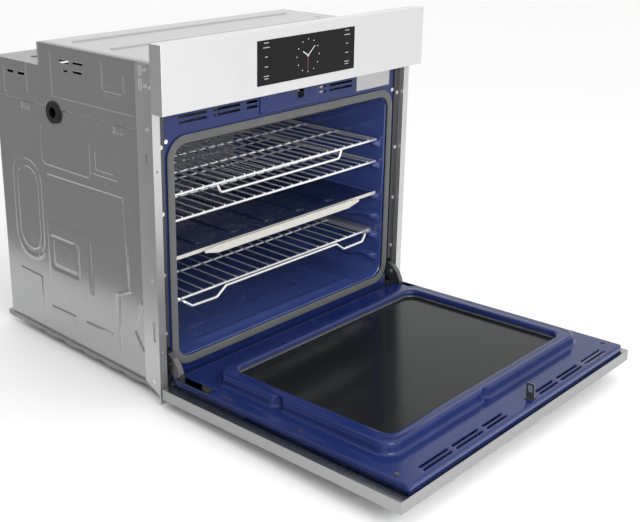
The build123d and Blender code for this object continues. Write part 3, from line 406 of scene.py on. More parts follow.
cobalt = coated(
    "cobalt_enamel", (0.008, 0.018, 0.085, 1), (0.012, 0.028, 0.13, 1),
    0.13, 0.24, coat=0.08, specular=0.32,
)
# The cavity's cobalt enamel is painted in lighter tones than the door's, as painted light for the shaded inside
# of the oven.
cavity_cobalt_painted_light = coated(
    "cavity_enamel_painted_light", (0.034, 0.060, 0.20, 1), (0.052, 0.088, 0.28, 1), 0.09, 0.20, coat=0.8,
)
# The side bands get a near-black coat as a painted reflection: the blue enamel frame there mirrors something
# dark, and this dark band stands in for it.
band_painted_reflection = coated("band_painted_reflection", (0.030, 0.030, 0.032, 1), (0.045, 0.045, 0.048, 1), 0.32, 0.45, coat=0.1)
trim_paint = coated(
    "trim_paint", (0.50, 0.50, 0.505, 1), (0.60, 0.60, 0.605, 1), 0.28, 0.40, coat=0.1, metallic=0.8,
)
element_skin = coated(
    "element_skin", (0.035, 0.033, 0.032, 1), (0.07, 0.065, 0.06, 1), 0.42, 0.6, coat=0.0, metallic=0.5,
)
black_plastic = coated(
    "black_plastic", (0.003, 0.003, 0.003, 1), (0.006, 0.006, 0.006, 1), 0.3, 0.45, 500.0, coat=0.0,
)
board_green = coated(
    "board_green", (0.006, 0.07, 0.025, 1), (0.012, 0.11, 0.04, 1), 0.25, 0.4, 300.0, coat=0.3,
)

# %% Divider: enamel behind a bright front bar
divider_skin, tree, shader = finish("divider_skin", Coat_Weight=0.3, Coat_Roughness=0.08)
fired = use(tree, ripple, Grain=160.0)
fired.inputs["Colour A"].default_value = (0.006, 0.014, 0.05, 1)
fired.inputs["Colour B"].default_value = (0.01, 0.02, 0.075, 1)
place_in = step(tree, "ShaderNodeTexCoord")
apart = step(tree, "ShaderNodeSeparateXYZ")
tree.links.new(place_in.outputs["Object"], apart.inputs[0])
front_bar = step(tree, "ShaderNodeMath", operation="LESS_THAN")
front_bar.inputs[1].default_value = 0.0345
tree.links.new(apart.outputs["Y"], front_bar.inputs[0])
tone = step(tree, "ShaderNodeMix", data_type="RGBA")
tree.links.new(front_bar.outputs[0], tone.inputs["Factor"])
tree.links.new(fired.outputs["Color"], tone.inputs[6])
tone.inputs[7].default_value = (0.60, 0.585, 0.54, 1)
tree.links.new(tone.outputs[2], shader.inputs["Base Color"])
marks = use(tree, film, Clean=0.24, Marked=0.40, Size=9.0)
tree.links.new(marks.outputs["Roughness"], shader.inputs["Roughness"])

# %% Glass
def dark_glass(name, colour, clean, marked):
    made, tree, shader = finish(name, Base_Color=colour, Specular_IOR_Level=0.16)
    marks = use(tree, film, Clean=clean, Marked=marked, Size=4.0)
    tree.links.new(marks.outputs["Roughness"], shader.inputs["Roughness"])
    return made


touch_black = dark_glass("touch_black", (0.006, 0.006, 0.007, 1), 0.05, 0.11)
window_dark = dark_glass("window_dark", (0.010, 0.011, 0.012, 1), 0.12, 0.20)
clear_glass, tree, shader = finish(
    "clear_glass", Base_Color=(0.93, 0.96, 0.95, 1), Transmission_Weight=0.9, IOR=1.45
)
marks = use(tree, film, Clean=0.03, Marked=0.10, Size=8.0)
tree.links.new(marks.outputs["Roughness"], shader.inputs["Roughness"])

# %% Braided fibre and mineral wool
def fibrous(name, dark, light, grain, depth):
    made, tree, shader = finish(name, Sheen_Weight=0.2, Roughness=0.9)
    fluff = use(tree, ripple, Grain=grain)
    fluff.inputs["Colour A"].default_value = dark
    fluff.inputs["Colour B"].default_value = light
    tree.links.new(fluff.outputs["Color"], shader.inputs["Base Color"])
    bump(tree, shader, fluff.outputs["Height"], depth, 0.8)
    return made


wool_yellow = fibrous("mineral_wool", (0.46, 0.42, 0.30, 1), (0.62, 0.58, 0.44, 1), 420.0, 0.002)

# %% Floor
floor_pale, tree, shader = finish("floor_pale", Base_Color=(0.97, 0.97, 0.97, 1), Specular_IOR_Level=0.2)
marks = use(tree, film, Clean=0.55, Marked=0.65, Size=1.0)
tree.links.new(marks.outputs["Roughness"], shader.inputs["Roughness"])
floor.data.materials.append(floor_pale)

# %% [markdown]
# ## Carried-over parts
# Every part that keeps its own mesh is dressed by the finish named for it. Names on
# one line share a finish because they are made of the same stock. Parts that a new
# piece stands in for are left out here and named where that piece is made.

# %% Dress the carried-over parts
wardrobe = {
    panel_steel: "panel_frame",
    door_steel: "door_pan",
    probe_steel: "temperature_probe handle_inserts latch_bolt",
    plate_foil: "rating_plate",
    rear_zinc: "rear_panel rear_lid terminal_cover base_pan",
    inner_zinc: "component_deck panel_back panel_brackets glide_base fan_cover_left fan_cover_right",
    bright_zinc: "casing_screws",
    arm_steel: "latch_strike door_screws hinge_arms hinge_receivers door_hinges",
    cast_metal: "fan_motors blower_motor latch_motor blower_housing impeller_left impeller_right",
    chrome_wire: "rack_upper rack_second glide_rack",
    cobalt: "front_frame",
    # side bands: near-black coat as a painted dark reflection on the blue frame
    band_painted_reflection: "side_bands",
    trim_paint: "side_trim_left side_trim_right glass_seal glass_spacer",
    divider_skin: "divider_shelf",
    element_skin: "bake_element broil_element fan_elements",
    black_plastic: "cable_grommet blower_wheel display_module",
    board_green: "control_board power_board",
    touch_black: "touch_glass",
    window_dark: "outer_glass inner_glass mid_glass",
    clear_glass: "lamp_lenses lamps",
}


def dress(piece, material):
    """Give one finish to the whole of a piece."""
    piece.data.materials.clear()
    piece.data.materials.append(material)


for material, names in wardrobe.items():
    for name in names.split():
        dress(node[name], material)
print("dressed", sum(len(names.split()) for names in wardrobe.values()))

# %% [markdown]
# ## Rolled edges on the two bent steel fronts
# Folded sheet never ends in a razor line. The panel frame and the door pan are merged
# and given a small three-step bevel, which is what catches a bright line along each
# fold in a real kitchen.

# %% Bevels
def roll_edges(piece, width, angle=35.0):
    """Weld the loose triangles of a part and round its folds."""
    weld = piece.modifiers.new("weld", "WELD")
    weld.merge_threshold = 0.00001
    bevel = piece.modifiers.new("bevel", "BEVEL")
    bevel.width, bevel.segments = width, 2
    bevel.limit_method = "ANGLE"
    bevel.angle_limit = math.radians(angle)
    bevel.harden_normals = True


for name, width in (("panel_frame", 0.0012), ("door_pan", 0.0009)):
    roll_edges(node[name], width)
print("rolled", 2)

# %% [markdown]
# ## A language for pressed sheet
# A pressed panel is one sheet whose height changes only where a tool has pushed it.
# So each panel is a height field: a grid of points, with a sum of soft shapes added to
# its depth. Three shapes are enough: a bead along a line, a pad with rounded corners
# and a ring. Each goes from nothing to full height over a few millimetres, as real
# tooling does.

# %% Shapes of the press
def soft(distance, width):
    """One inside and nought outside, with a smooth slope of the given width between:
    s*s*(3-2s) of the clipped distance."""
    s = np.clip(0.5 - distance / width, 0.0, 1.0)
    return s * s * (3.0 - 2.0 * s)


def bead(u, v, points, half, slope=4.0):
    """A raised line through points: soft of the distance to the nearest segment, less the half width."""
    nearest = np.full(np.broadcast(u, v).shape, 1e9)
    for (u0, v0), (u1, v1) in zip(points[:-1], points[1:]):
        du, dv = u1 - u0, v1 - v0
        t = np.clip(((u - u0) * du + (v - v0) * dv) / (du * du + dv * dv), 0.0, 1.0)
        nearest = np.minimum(nearest, np.hypot(u - u0 - t * du, v - v0 - t * dv))
    return soft(nearest - half, slope)


def pad(u, v, u0, u1, v0, v1, r=8.0, slope=5.0):
    """A raised field: soft of the distance outside a rectangle with rounded corners."""
    a = np.abs(u - (u0 + u1) / 2) - (u1 - u0) / 2 + r
    b = np.abs(v - (v0 + v1) / 2) - (v1 - v0) / 2 + r
    outside = np.hypot(np.maximum(a, 0), np.maximum(b, 0)) + np.minimum(np.maximum(a, b), 0) - r
    return soft(outside, slope)


def lines_at(start, stop, pitch, edges=(), fine=(), slope=4.0):
    """Grid lines at an even pitch, with five more across each named edge and a finer
    pitch over each (from, to, pitch) stretch."""
    marks = [np.arange(start, stop, pitch), [stop]]
    for edge in edges:
        marks.append(edge + slope * np.array([-0.55, -0.25, 0.0, 0.25, 0.55]))
    for low, high, close in fine:
        marks.append(np.arange(low, high, close))
    flat = np.unique(np.round(np.concatenate(marks), 1))
    flat = flat[(flat >= start) & (flat <= stop)]
    apart = np.concatenate([[True], np.diff(flat) > 0.45])
    return flat[apart]


# %% [markdown]
# ## The pressed side walls
# The side walls carry most of the oven's drawing: a tall oval and a double square
# that stiffen the middle, pads, a boxed upper rear, L-shaped beads around the base and
# slots for cooling air. Each wall is two sheets that meet at a seam near the top. Both
# are grids in depth and height, with lines packed closer across every pressed edge,
# and the right wall is the mirror of the left.

# %% Lower wall height field
def lower_relief(y, z):
    """Outward height in millimetres at depth y and height z under the seam: the sum of
    all beads and pads."""
    h = 1.5 * (pad(y, z, 391, 504, 170, 407, 56, 4) - pad(y, z, 398, 497, 180, 397, 48, 4))
    h = h + 1.5 * (pad(y, z, 406, 488, 194, 386, 40, 4) - pad(y, z, 411, 483, 200, 380, 35, 4))
    h = h + 1.9 * pad(y, z, 231, 385, 137, 275, 10, 4) - 1.9 * pad(y, z, 274, 374, 169, 244, 10, 5)
    h = h + 1.7 * pad(y, z, 284, 364, 178, 235, 8, 4)
    h = h + 1.9 * pad(y, z, 218, 388, 400, 482, 14, 4)
    h = h + 1.2 * pad(y, z, 129, 210, 412, 474, 6, 4) + 1.2 * pad(y, z, 140, 199, 423, 463, 5, 5)
    h = h + 1.9 * bead(y, z, ((369, 381), (117, 384), (106, 193), (143.5, 175), (143.5, 47)), 1.8)
    h = h + 1.8 * bead(y, z, ((498, 136), (420, 134), (420, 42)), 1.6)
    h = h + 1.8 * bead(y, z, ((385, 75), (301, 76.5), (301, 37)), 1.6)
    h = h + 1.8 * bead(y, z, ((260, 76), (171, 79), (171, 41)), 1.6)
    h = h + 2.2 * bead(y, z, ((70, 176), (97, 111.5), (70, 73)), 3.0, 4.0)
    for at_y, at_z in ((437, 516), (125, 516)):
        for shift in (-12, 0, 12):
            h = h + 2.2 * pad(y, z, at_y + shift - 3, at_y + shift + 3, at_z - 8, at_z + 5, 2, 3)
    for at_y, at_z in ((526, 425), (476, 371), (416, 372), (167, 399), (477, 185), (418, 186), (525, 93)):
        h = h + 1.4 * soft(np.hypot(y - at_y, z - at_z) - 3.5, 3.0)
    return h


def upper_relief(y, z):
    """Outward height above the seam: a boxed field, the rear box's two folds, a small
    plate and the ring of the cable grommet."""
    h = 1.9 * bead(y, z, ((336, 551), (336, 640)), 1.8) + 1.4 * bead(y, z, ((336, 551), (74, 551)), 1.4)
    h = h + 1.9 * bead(y, z, ((510, 588), (510, 536), (500, 532)), 1.8)
    h = h + 1.9 * bead(y, z, ((425, 602), (425, 548)), 1.8)
    box_line = ((164.5, 638), (164.5, 590), (158, 586), (104, 586), (99.5, 591), (99.5, 620))
    h = h + 1.8 * bead(y, z, box_line, 1.8)
    h = h + 1.0 * pad(y, z, 113, 158, 595, 636, 4, 4)
    h = h + 1.2 * bead(y, z, ((320, 585), (104, 577)), 1.0, 3.0)
    return h + 1.2 * (soft(np.hypot(y - 333, z - 516) - 31.0, 4.0))


# %% [markdown]
# A sheet piece starts as a surface grid. Faces under a hole are left out by a mask on
# their centres, and a Solidify modifier gives the sheet its back and its cut edges.
# That keeps every hole closed round its rim with very little work.

# %% Sheet helper
def sheet_piece(name, points, material, body, thick=1.0, keep=None, wrap=False, flip=False):
    """A sheet through points[v, u] in metres: quads where keep is true, joined round
    where wrapped, and thickened away from the seen side."""
    rows, cols = points.shape[:2]
    index = np.arange(rows * cols).reshape(rows, cols)
    if wrap:
        index = np.hstack([index, index[:, :1]])
    quads = np.stack([index[:-1, :-1], index[:-1, 1:], index[1:, 1:], index[1:, :-1]], -1)
    quads = quads.reshape(-1, 4) if keep is None else quads[keep]
    quads = quads[:, ::-1] if flip else quads
    mesh = bpy.data.meshes.new(name)
    mesh.from_pydata(points.reshape(-1, 3).tolist(), [], quads.tolist())
    mesh.polygons.foreach_set("use_smooth", np.ones(len(mesh.polygons), bool))
    mesh.update()
    tidy = bmesh.new()
    tidy.from_mesh(mesh)
    bmesh.ops.delete(tidy, geom=[v for v in tidy.verts if not v.link_faces], context="VERTS")
    tidy.to_mesh(mesh)
    tidy.free()
    piece = bpy.data.objects.new(name, mesh)
    bpy.context.scene.collection.objects.link(piece)
    if thick:
        solid = piece.modifiers.new("sheet", "SOLIDIFY")
        solid.thickness, solid.offset = thick * 0.001, -1.0
    dress(piece, material)
    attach(piece, body)
    print(name, "faces", len(mesh.polygons))
    return piece


def centres(a):
    """Means of the four corners of every grid cell."""
    return (a[:-1, :-1] + a[1:, :-1] + a[:-1, 1:] + a[1:, 1:]) / 4


def inside_slot(u, v, u0, u1, v0, v1):
    return (u > u0) & (u < u1) & (v > v0) & (v < v1)


# %% Left and right walls
SEAM_Z = 523.0
wall_y = lines_at(
    17.5, 550.5, 9.0,
    (106, 117, 129, 140, 143.5, 171, 199, 210, 218, 231, 260, 274, 284, 301, 364, 374, 385, 420, 391, 504, 498),
    ((389, 507, 3.0), (68, 102, 2.0), (110, 140, 2.5), (422, 452, 2.5)),
)
wall_z = lines_at(
    14.5, SEAM_Z - 0.4, 9.0,
    (76, 135, 137, 169, 178, 194, 235, 244, 275, 382, 400, 412, 423, 463, 474, 482, 509, 521),
    ((168, 228, 3.0), (350, 409, 3.0), (72, 178, 3.2)),
)
y, z = np.meshgrid(wall_y, wall_z)
low_wall = (y, z, lower_relief(y, z), np.hypot(centres(y) - 285, centres(z) - 244) < 3.0)
wall_y = lines_at(
    17.5, 550.5, 7.0, (99.5, 113, 158, 164.5, 336, 425, 510), ((228, 312, 3.0), (300, 366, 2.5), (434, 501, 3.0)),
)
wall_z = lines_at(SEAM_Z + 0.4, 653.6, 6.0, (551, 586, 595, 636, 606), ((500, 550, 2.5), (570, 640, 2.2)))
y, z = np.meshgrid(wall_y, wall_z)
cy, cz = centres(y), centres(z)
shut = (cz > 605.8) & (cy > 383)
LOUVRES = ((476, 500, 580), (435, 460, 580.5), (274, 306, 624))
LOUVRES += ((229, 260, 625), (278, 295, 606), (232, 263, 607))
for y0, y1, at_z in LOUVRES:
    shut |= inside_slot(cy, cz, y0, y1, at_z - 2.6, at_z + 2.6)
high_wall = (y, z, upper_relief(y, z), shut)
for side, label in ((-1, "left"), (1, "right")):
    for height, (y, z, relief, holes) in (("lower", low_wall), ("upper", high_wall)):
        if side < 0:
            holes = holes | (np.hypot(centres(y) - 333, centres(z) - 516) < 20.0)
        wall = sheet_piece(
            f"side_wall_{height}_{label}", in_frame(side * (CASE_X + 0.05 + relief), y, z), case_zinc,
            "casing", 0.9, ~holes, flip=side < 0,
        )
        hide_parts("side_panel_" + label)

# %% [markdown]
# ## The hood
# The top cover is a folded sheet with two long stiffening ribs. It is drawn as one
# strip that comes up the front, over the top and down the back, with rounded folds,
# and closes against the upper side walls.

# %% Hood sheet
def fold_strip(corners, r=2.0, steps=5):
    """Points along a bent strip: straight runs joined by quarter-like arcs that leave r
    before each corner."""
    out = [np.array(corners[0], float)]
    for before, here, after in zip(corners[:-2], corners[1:-1], corners[2:]):
        here = np.array(here, float)
        a, b = np.array(before) - here, np.array(after) - here
        p, q = here + r * a / np.linalg.norm(a), here + r * b / np.linalg.norm(b)
        t = np.linspace(0, 1, steps)[:, None]
        out.extend((1 - t) ** 2 * p + 2 * t * (1 - t) * here + t**2 * q)
    out.append(np.array(corners[-1], float))
    return np.array(out)


top_edges, top_fine = (198 - 8, 198 + 8, 324 - 8, 324 + 8), ((188, 208, 2.0), (314, 334, 2.0))
top_lines = lines_at(22.0, 378.0, 12.0, top_edges, top_fine)
strip = fold_strip(((18, 642), (18, 653.8), (382.6, 653.8), (382.6, 606.6)))
front, rest = strip[strip[:, 0] < 21.0], strip[strip[:, 0] > 379.0]
strip = np.vstack([front, np.stack([top_lines, 0 * top_lines + 653.8], -1), rest])
hood_x = lines_at(-357.9, 357.9, 20.0, (-311, 311), ((-318, -300, 2.0), (300, 318, 2.0)))
x, y = np.meshgrid(hood_x, strip[:, 0])
z = np.broadcast_to(strip[:, 1][:, None], x.shape)
ribs = 2.4 * (pad(x, y, -311, 311, 191, 205, 7, 5) + pad(x, y, -311, 311, 317, 331, 7, 5))
on_top = z > 653.7
spots = 1.6 * (soft(np.hypot(x - 296, y - 340) - 6, 3) + soft(np.hypot(x - 318, y - 222) - 6, 3))
cover = sheet_piece(
    "hood_cover", in_frame(x, y, z + (ribs + spots) * on_top), case_zinc, "casing", 0.9,
)
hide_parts("hood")

# %% [markdown]
# ## Loops inside loops
# A cavity, a gasket and a door pressing all follow rounded rectangles. One function
# walks round such a rectangle with the same number of points whatever its size, so
# that loops of different sizes can be lofted into one smooth skin.

# %% Rounded loop
def loop(half, low, high, r, across=60, up=50, turn=10):
    """Points round a rectangle of half width and low to high with corner radius r: four
    straight runs joined by quarter arcs, anticlockwise."""
    arc = np.linspace(0, math.pi / 2, turn + 2)[1:-1]
    runs = []
    corners = ((half - r, low + r, -90), (half - r, high - r, 0))
    corners += ((r - half, high - r, 90), (r - half, low + r, 180))
    starts = ((r - half, low), (half, low + r), (half - r, high), (-half, high - r))
    ends = ((half - r, low), (half, high - r), (r - half, high), (-half, low + r))
    for (cx, cv, turn0), (ax, av), (bx, bv), count in zip(corners, starts, ends, (across, up, across, up)):
        t = np.linspace(0, 1, count)
        runs.append(np.stack([ax + (bx - ax) * t, av + (bv - av) * t], -1))
        angle = arc + math.radians(turn0)
        runs.append(np.stack([cx + r * np.cos(angle), cv + r * np.sin(angle)], -1))
    return np.concatenate(runs)


# %% [markdown]
# ## The cavity
# The oven's inside is one enamelled tube with six wavy shelves pressed into each side,
# on which racks slide, and a shallow raised outline on the floor. It is a loop carried
# backwards, moved inwards wherever a shelf or the outline is, and then drawn together
# to close the rear wall.

# %% Cavity skin
def shelf_depth(y, z):
    """How far a side wall is pressed inwards: a ridge under each guide height, its lower
    edge waved along the depth."""
    d = np.zeros(np.broadcast(y, z).shape)
    wave = 5.0 * np.cos((y - CAV_Y0) * 2 * math.pi / 93.0)
    run = soft(np.abs(y - 248.0) - 214.0, 14.0)
    for top in GUIDES:
        thick = 13.0 + wave
        d = np.maximum(d, soft(np.abs(z - (top - thick / 2 - 1.0)) - thick / 2, 5.0) * run)
    return 11.0 * d


ring = loop(CAV_X, CAV_Z0, CAV_Z1, 28.0, across=90, up=170)
rear_fold = CAV_REAR - 11.0 * (1 - np.sin(np.linspace(0.1, 1.5708, 6)))
depth_lines = np.concatenate([np.arange(CAV_Y0, 470.0, 6.0), rear_fold])
x = np.broadcast_to(ring[:, 0], (len(depth_lines), len(ring))).copy()
z = np.broadcast_to(ring[:, 1], x.shape).copy()
y = np.broadcast_to(depth_lines[:, None], x.shape)
on_side = np.abs(np.abs(x) - CAV_X) < 0.01
x = np.where(on_side, np.sign(x) * (CAV_X - shelf_depth(y, z)), x)
on_floor = np.abs(z - CAV_Z0) < 0.01
outline = ((-232, 52), (232, 52), (196, 408), (-196, 408), (-232, 52))
inset = ((-150, 110), (150, 110), (124, 352), (-124, 352), (-150, 110))
press = 2.4 * bead(x, y, outline, 6.0, 7.0) + 1.4 * bead(x, y, inset, 3.0, 5.0)
z = np.where(on_floor, z + press, z)
rounding = np.clip((y - 470.2) / 11.0, 0, 1)
inset = 11.0 * (1 - np.sqrt(np.clip(1 - rounding**2, 0, 1)))
shrink_x, shrink_z = 1 - inset / CAV_X, 1 - inset / ((CAV_Z1 - CAV_Z0) / 2)
mid_z = (CAV_Z0 + CAV_Z1) / 2
x, z = x * shrink_x, mid_z + (z - mid_z) * shrink_z
inner = np.array([0.93, 0.86, 0.78, 0.68, 0.56, 0.42, 0.26, 0.10, 0.0005])[:, None]
back_x, back_z = x[-1] * inner, mid_z + (z[-1] - mid_z) * inner
back_y = CAV_REAR - 1.6 * soft(np.abs(inner - 0.72) - 0.05, 0.1) + 0 * back_x
x, y, z = np.vstack([x, back_x]), np.vstack([y, back_y]), np.vstack([z, back_z])
# The skin takes the lighter cavity enamel, painted light for the shaded inside.
cavity = sheet_piece("cavity_skin", in_frame(x, y, z), cavity_cobalt_painted_light, "casing", 1.1, wrap=True)
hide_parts("cavity_liner")
print("cavity width at a guide", round(2 * float(np.abs(x[20]).min()), 1))

# %% [markdown]
# ## The door's inner pressing
# The inside of the door is one deep-drawn enamelled sheet: an outer field with vents
# near the top, a raised ring that plugs the cavity, and a window. Nested loops give
# that directly, each with its own height. A V-shaped relief on both sides of the ring
# and a long bead near the vents are added by place.

# %% Door pressing
stations = [
    (278.0, 97.0, 475.0, 23.0, 29.0), (278.2, 96.8, 475.2, 23.0, 33.0), (278.9, 96.1, 475.9, 23.5, 36.6),
    (280.6, 94.4, 477.6, 24.0, 39.0), (283.0, 92.0, 479.6, 25.0, 39.9), (286.0, 90.4, 482.2, 25.5, 40.0),
    (291.0, 88.6, 486.0, 26.0, 39.6), (296.0, 87.0, 489.6, 27.0, 39.4), (301.0, 85.4, 493.0, 28.0, 39.6),
    (304.5, 84.0, 495.4, 29.0, 40.0), (307.0, 82.6, 497.0, 30.0, 39.6), (309.0, 81.2, 498.4, 30.0, 38.2),
    (310.6, 80.2, 499.4, 30.5, 35.4), (311.4, 79.6, 500.0, 31.0, 30.0), (312.2, 78.9, 500.7, 31.0, 24.0),
    (313.2, 78.0, 501.7, 32.0, 20.4), (315.0, 76.4, 503.4, 33.0, 18.5), (318.0, 73.8, 506.2, 34.0, 18.0),
]
SHARES = (0.12, 0.24, 0.34, 0.42, 0.48, 0.54, 0.60, 0.652)
SHARES += (0.68, 0.713, 0.76, 0.804, 0.83, 0.865, 0.91, 0.95)
for t in SHARES:
    stations.append((318 + 35.5 * t, 73.8 - 65.3 * t, 506.2 + 65.3 * t, 34 - 26 * t, 18.0))
stations += [(354.2, 7.8, 572.2, 8.0, 17.6), (354.8, 7.2, 572.8, 8.0, 16.6)]
stations += [(355.0, 7.0, 573.0, 8.0, 15.0), (355.0, 7.0, 573.0, 8.0, 0.5)]
rings = [loop(half, lo, hi, r, across=140, up=90) for half, lo, hi, r, n in stations]
x = np.array([ring[:, 0] for ring in rings])
l = np.array([ring[:, 1] for ring in rings])
n = np.broadcast_to(np.array([s[4] for s in stations])[:, None], x.shape).copy()
row = np.arange(len(stations))[:, None] + 0 * x
on_wall = (row > 8) & (row < 19)
notch = 13.0 * np.clip(1 - np.abs(l - 244.0) / 15.0, 0, 1) * (np.abs(x) > 296) * on_wall
x = x - np.sign(x) * notch * np.clip((row - 8) / 4.0, 0, 1)
dent = 7.0 * np.clip(1 - np.abs(x + 30.0) / 11.0, 0, 1) * (l > 490) * on_wall
l = l - dent * np.clip((row - 8) / 4.0, 0, 1)
flat = row > 17
top_beads = bead(x, l, ((-299, 531.5), (8, 531.5)), 1.4, 3.0)
top_beads = top_beads + bead(x, l, ((48, 531.5), (209, 531.5)), 1.4, 3.0)
side_beads = bead(x, l, ((-330, 60), (-330, 470)), 1.6, 3.5)
side_beads = side_beads + bead(x, l, ((330, 60), (330, 470)), 1.6, 3.5)
n = n + flat * (row < 34) * 1.5 * top_beads
n = n + flat * (row < 34) * 1.2 * side_beads
cx, cl, crow = centres(x), centres(l), centres(row * 1.0)
slots = np.zeros(cx.shape, bool)
for lo, hi in ((547.8, 552.2), (558.8, 563.2)):
    for x0, x1 in ((-300, -224), (-208, -133), (-117, -58), (57, 117), (133, 208), (225, 300)):
        slots |= inside_slot(cx, cl, x0, x1, lo, hi) & (crow > 17)
slots |= (np.abs(np.abs(cx) - 344) < 9) & (cl < 104) & (crow > 17)
pressing = sheet_piece(
    "door_pressing", on_door(x, l, n), cobalt, "door", 1.0,
    np.hstack([~slots, np.ones((len(slots), 1), bool)]), wrap=True,
)
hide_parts("door_liner")

# %% [markdown]
# ## Small pressings at the front
# Two details finish the front. A shallow outline is pressed around the latch hole
# above the cavity, and a bright bracket on each side wall takes the panel's two
# screws. Both are small height fields that lie on the sheet behind them.

# %% Latch outline and side brackets
x, z = np.meshgrid(
    lines_at(-90, 84, 5.0, (-86, -79, 73, 80), ((-90, -66, 1.6), (60, 84, 1.6), (15, 41, 1.0)), 3.0),
    lines_at(519, 565.5, 5.0, (524,), ((519, 540, 1.4), (545, 557, 1.0)), 3.0),
)
frame_line = ((-80.5, 566), (-80.5, 534), (-70, 525), (64, 525), (74.5, 534), (74.5, 566))
inner_line = ((-74, 566), (-74, 538), (-66, 531), (60, 531), (68, 538), (68, 566))
rise = 1.0 * pad(x, z, -89, 83, 520, 580, 8, 3)
rise = rise + 1.3 * bead(x, z, frame_line, 1.2, 2.5) + 0.8 * bead(x, z, inner_line, 0.7, 2.0)
hole = inside_slot(centres(x), centres(z), 17, 39, 534, 572)
for x0 in (-62, -44, 46, 56):
    hole |= inside_slot(centres(x), centres(z), x0, x0 + 7, 552, 557)
sheet_piece("latch_outline", in_frame(x, 13.4 - rise, z), cobalt, "casing", 0.5, ~hole)
y, z = np.meshgrid(lines_at(22.5, 57.5, 2.0), lines_at(598, 652, 2.0, (612, 641)))
SCREW_LOW, SCREW_HIGH, SCREW_Y = 612, 641, 36
dents = soft(np.hypot(y - SCREW_Y, z - SCREW_LOW) - 6, 3)
dents = dents + soft(np.hypot(y - SCREW_Y, z - SCREW_HIGH) - 6, 3)
rise = 1.2 * pad(y, z, 24, 56, 600, 651, 5, 3) - 0.8 * dents
rise = rise + 0.9 * (pad(y, z, 44, 53, 604, 624, 3, 2) + pad(y, z, 44, 53, 630, 648, 3, 2))
drilled = np.hypot(centres(y) - SCREW_Y, centres(z) - SCREW_LOW) < 3.0
drilled |= np.hypot(centres(y) - SCREW_Y, centres(z) - SCREW_HIGH) < 3.0
for side, label in ((-1, "left"), (1, "right")):
    sheet_piece(
        "panel_bracket_face_" + label, in_frame(side * (359.5 + rise), y, z), bright_zinc,
        "casing", 0.4, ~drilled, flip=side < 0,
    )

# %% [markdown]
# ## The braided gasket
# The seal is a glass-fibre braid over a spring core, clipped into the frame. It is a
# low D-shaped section carried round a rounded rectangle, with two crossing waves that
# give the plait of the braid.

# %% Gasket
path = loop(325.5, 55.5, 505.5, 36.5, across=260, up=180, turn=26)
ahead = np.roll(path, -1, 0) - np.roll(path, 1, 0)
ahead /= np.linalg.norm(ahead, axis=1, keepdims=True)
out_x, out_z = ahead[:, 1], -ahead[:, 0]
gone = np.concatenate([[0], np.cumsum(np.linalg.norm(np.diff(path, axis=0), axis=1))])
around = np.linspace(0, 2 * math.pi, 18, endpoint=False)
a, s = np.meshgrid(around, gone)
plait = 0.22 * np.sin(2 * math.pi * s / 7.0 + 3 * a) * np.sin(2 * math.pi * s / 7.0 - 3 * a)
across_w = (8.2 + plait) * np.sign(np.cos(a)) * np.abs(np.cos(a)) ** 0.75
rise = (2.38 + plait) * np.sign(np.sin(a)) * np.abs(np.sin(a)) ** 0.8
gx = path[:, 0][:, None] + out_x[:, None] * across_w
gz = path[:, 1][:, None] + out_z[:, None] * across_w
gasket_points = in_frame(gx, 12.0 - rise, gz)
gasket_points = np.concatenate([gasket_points, gasket_points[:1]])
# The braid's grey is darkened all over as painted shade, for the shadow that falls on the seal's left side.
gasket_fibre_painted_shade = fibrous("gasket_braid_painted_shade", (0.075, 0.077, 0.078, 1), (0.125, 0.127, 0.128, 1), 700.0, 0.0006)
seal = sheet_piece("gasket_ring", gasket_points, gasket_fibre_painted_shade, "casing", 0, wrap=True)
weld = seal.modifiers.new("weld", "WELD")
weld.merge_threshold = 0.00001
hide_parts("door_gasket")

# %% [markdown]
# ## Mineral wool
# The oven and the door are packed with soft mineral wool. Each blanket starts from a
# merged copy of its own solid, is remeshed into small even faces, and is then pulled
# in and ruffled by sums of waves, so that no face of it is flat. It hardly ever shows,
# so a simulation would add nothing to see.

# %% Wool blankets
def ruffle(p):
    """Lumps of fibre: three octaves of crossing sines of the place, from minus one to one."""
    total = np.zeros(len(p))
    for turn, size, share in ((0.3, 55.0, 0.5), (1.1, 21.0, 0.3), (2.3, 9.0, 0.2)):
        q = p * (2 * math.pi / size)
        across, along, up = q[:, 0] + turn, q[:, 1] * 1.1 + 2 * turn, q[:, 2] * 0.9 + 3 * turn
        total += share * np.sin(across) * np.sin(along) * np.sin(up)
    return total


def blanket(name, source, voxel, body):
    """A padded copy of one soft solid: merged, remeshed, then every point moved in along
    its normal by a lumpy amount."""
    mesh = node[source].data.copy()
    shell = bmesh.new()
    shell.from_mesh(mesh)
    bmesh.ops.remove_doubles(shell, verts=shell.verts, dist=0.00001)
    shell.to_mesh(mesh)
    shell.free()
    start = bpy.data.objects.new("start", mesh)
    bpy.context.scene.collection.objects.link(start)
    cells = start.modifiers.new("cells", "REMESH")
    cells.mode, cells.voxel_size = "VOXEL", voxel
    fine = bpy.data.meshes.new_from_object(start.evaluated_get(bpy.context.evaluated_depsgraph_get()))
    bpy.data.objects.remove(start)
    count = len(fine.vertices)
    p, normal = np.empty(count * 3), np.empty(count * 3)
    fine.vertices.foreach_get("co", p)
    fine.vertex_normals.foreach_get("vector", normal)
    p, normal = p.reshape(-1, 3), normal.reshape(-1, 3)
    p = p - normal * (0.0012 + 0.0010 * ruffle(p * 1000.0))[:, None]
    fine.vertices.foreach_set("co", p.ravel())
    fine.polygons.foreach_set("use_smooth", np.ones(len(fine.polygons), bool))
    fine.update()
    made = bpy.data.objects.new(name, fine)
    bpy.context.scene.collection.objects.link(made)
    dress(made, wool_yellow)
    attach(made, body)
    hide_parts(source)
    print(name, "faces", len(fine.polygons))
    return made


blanket("cavity_wool", "insulation_wrap", 0.007, "casing")
blanket("door_wool", "door_insulation", 0.006, "door")

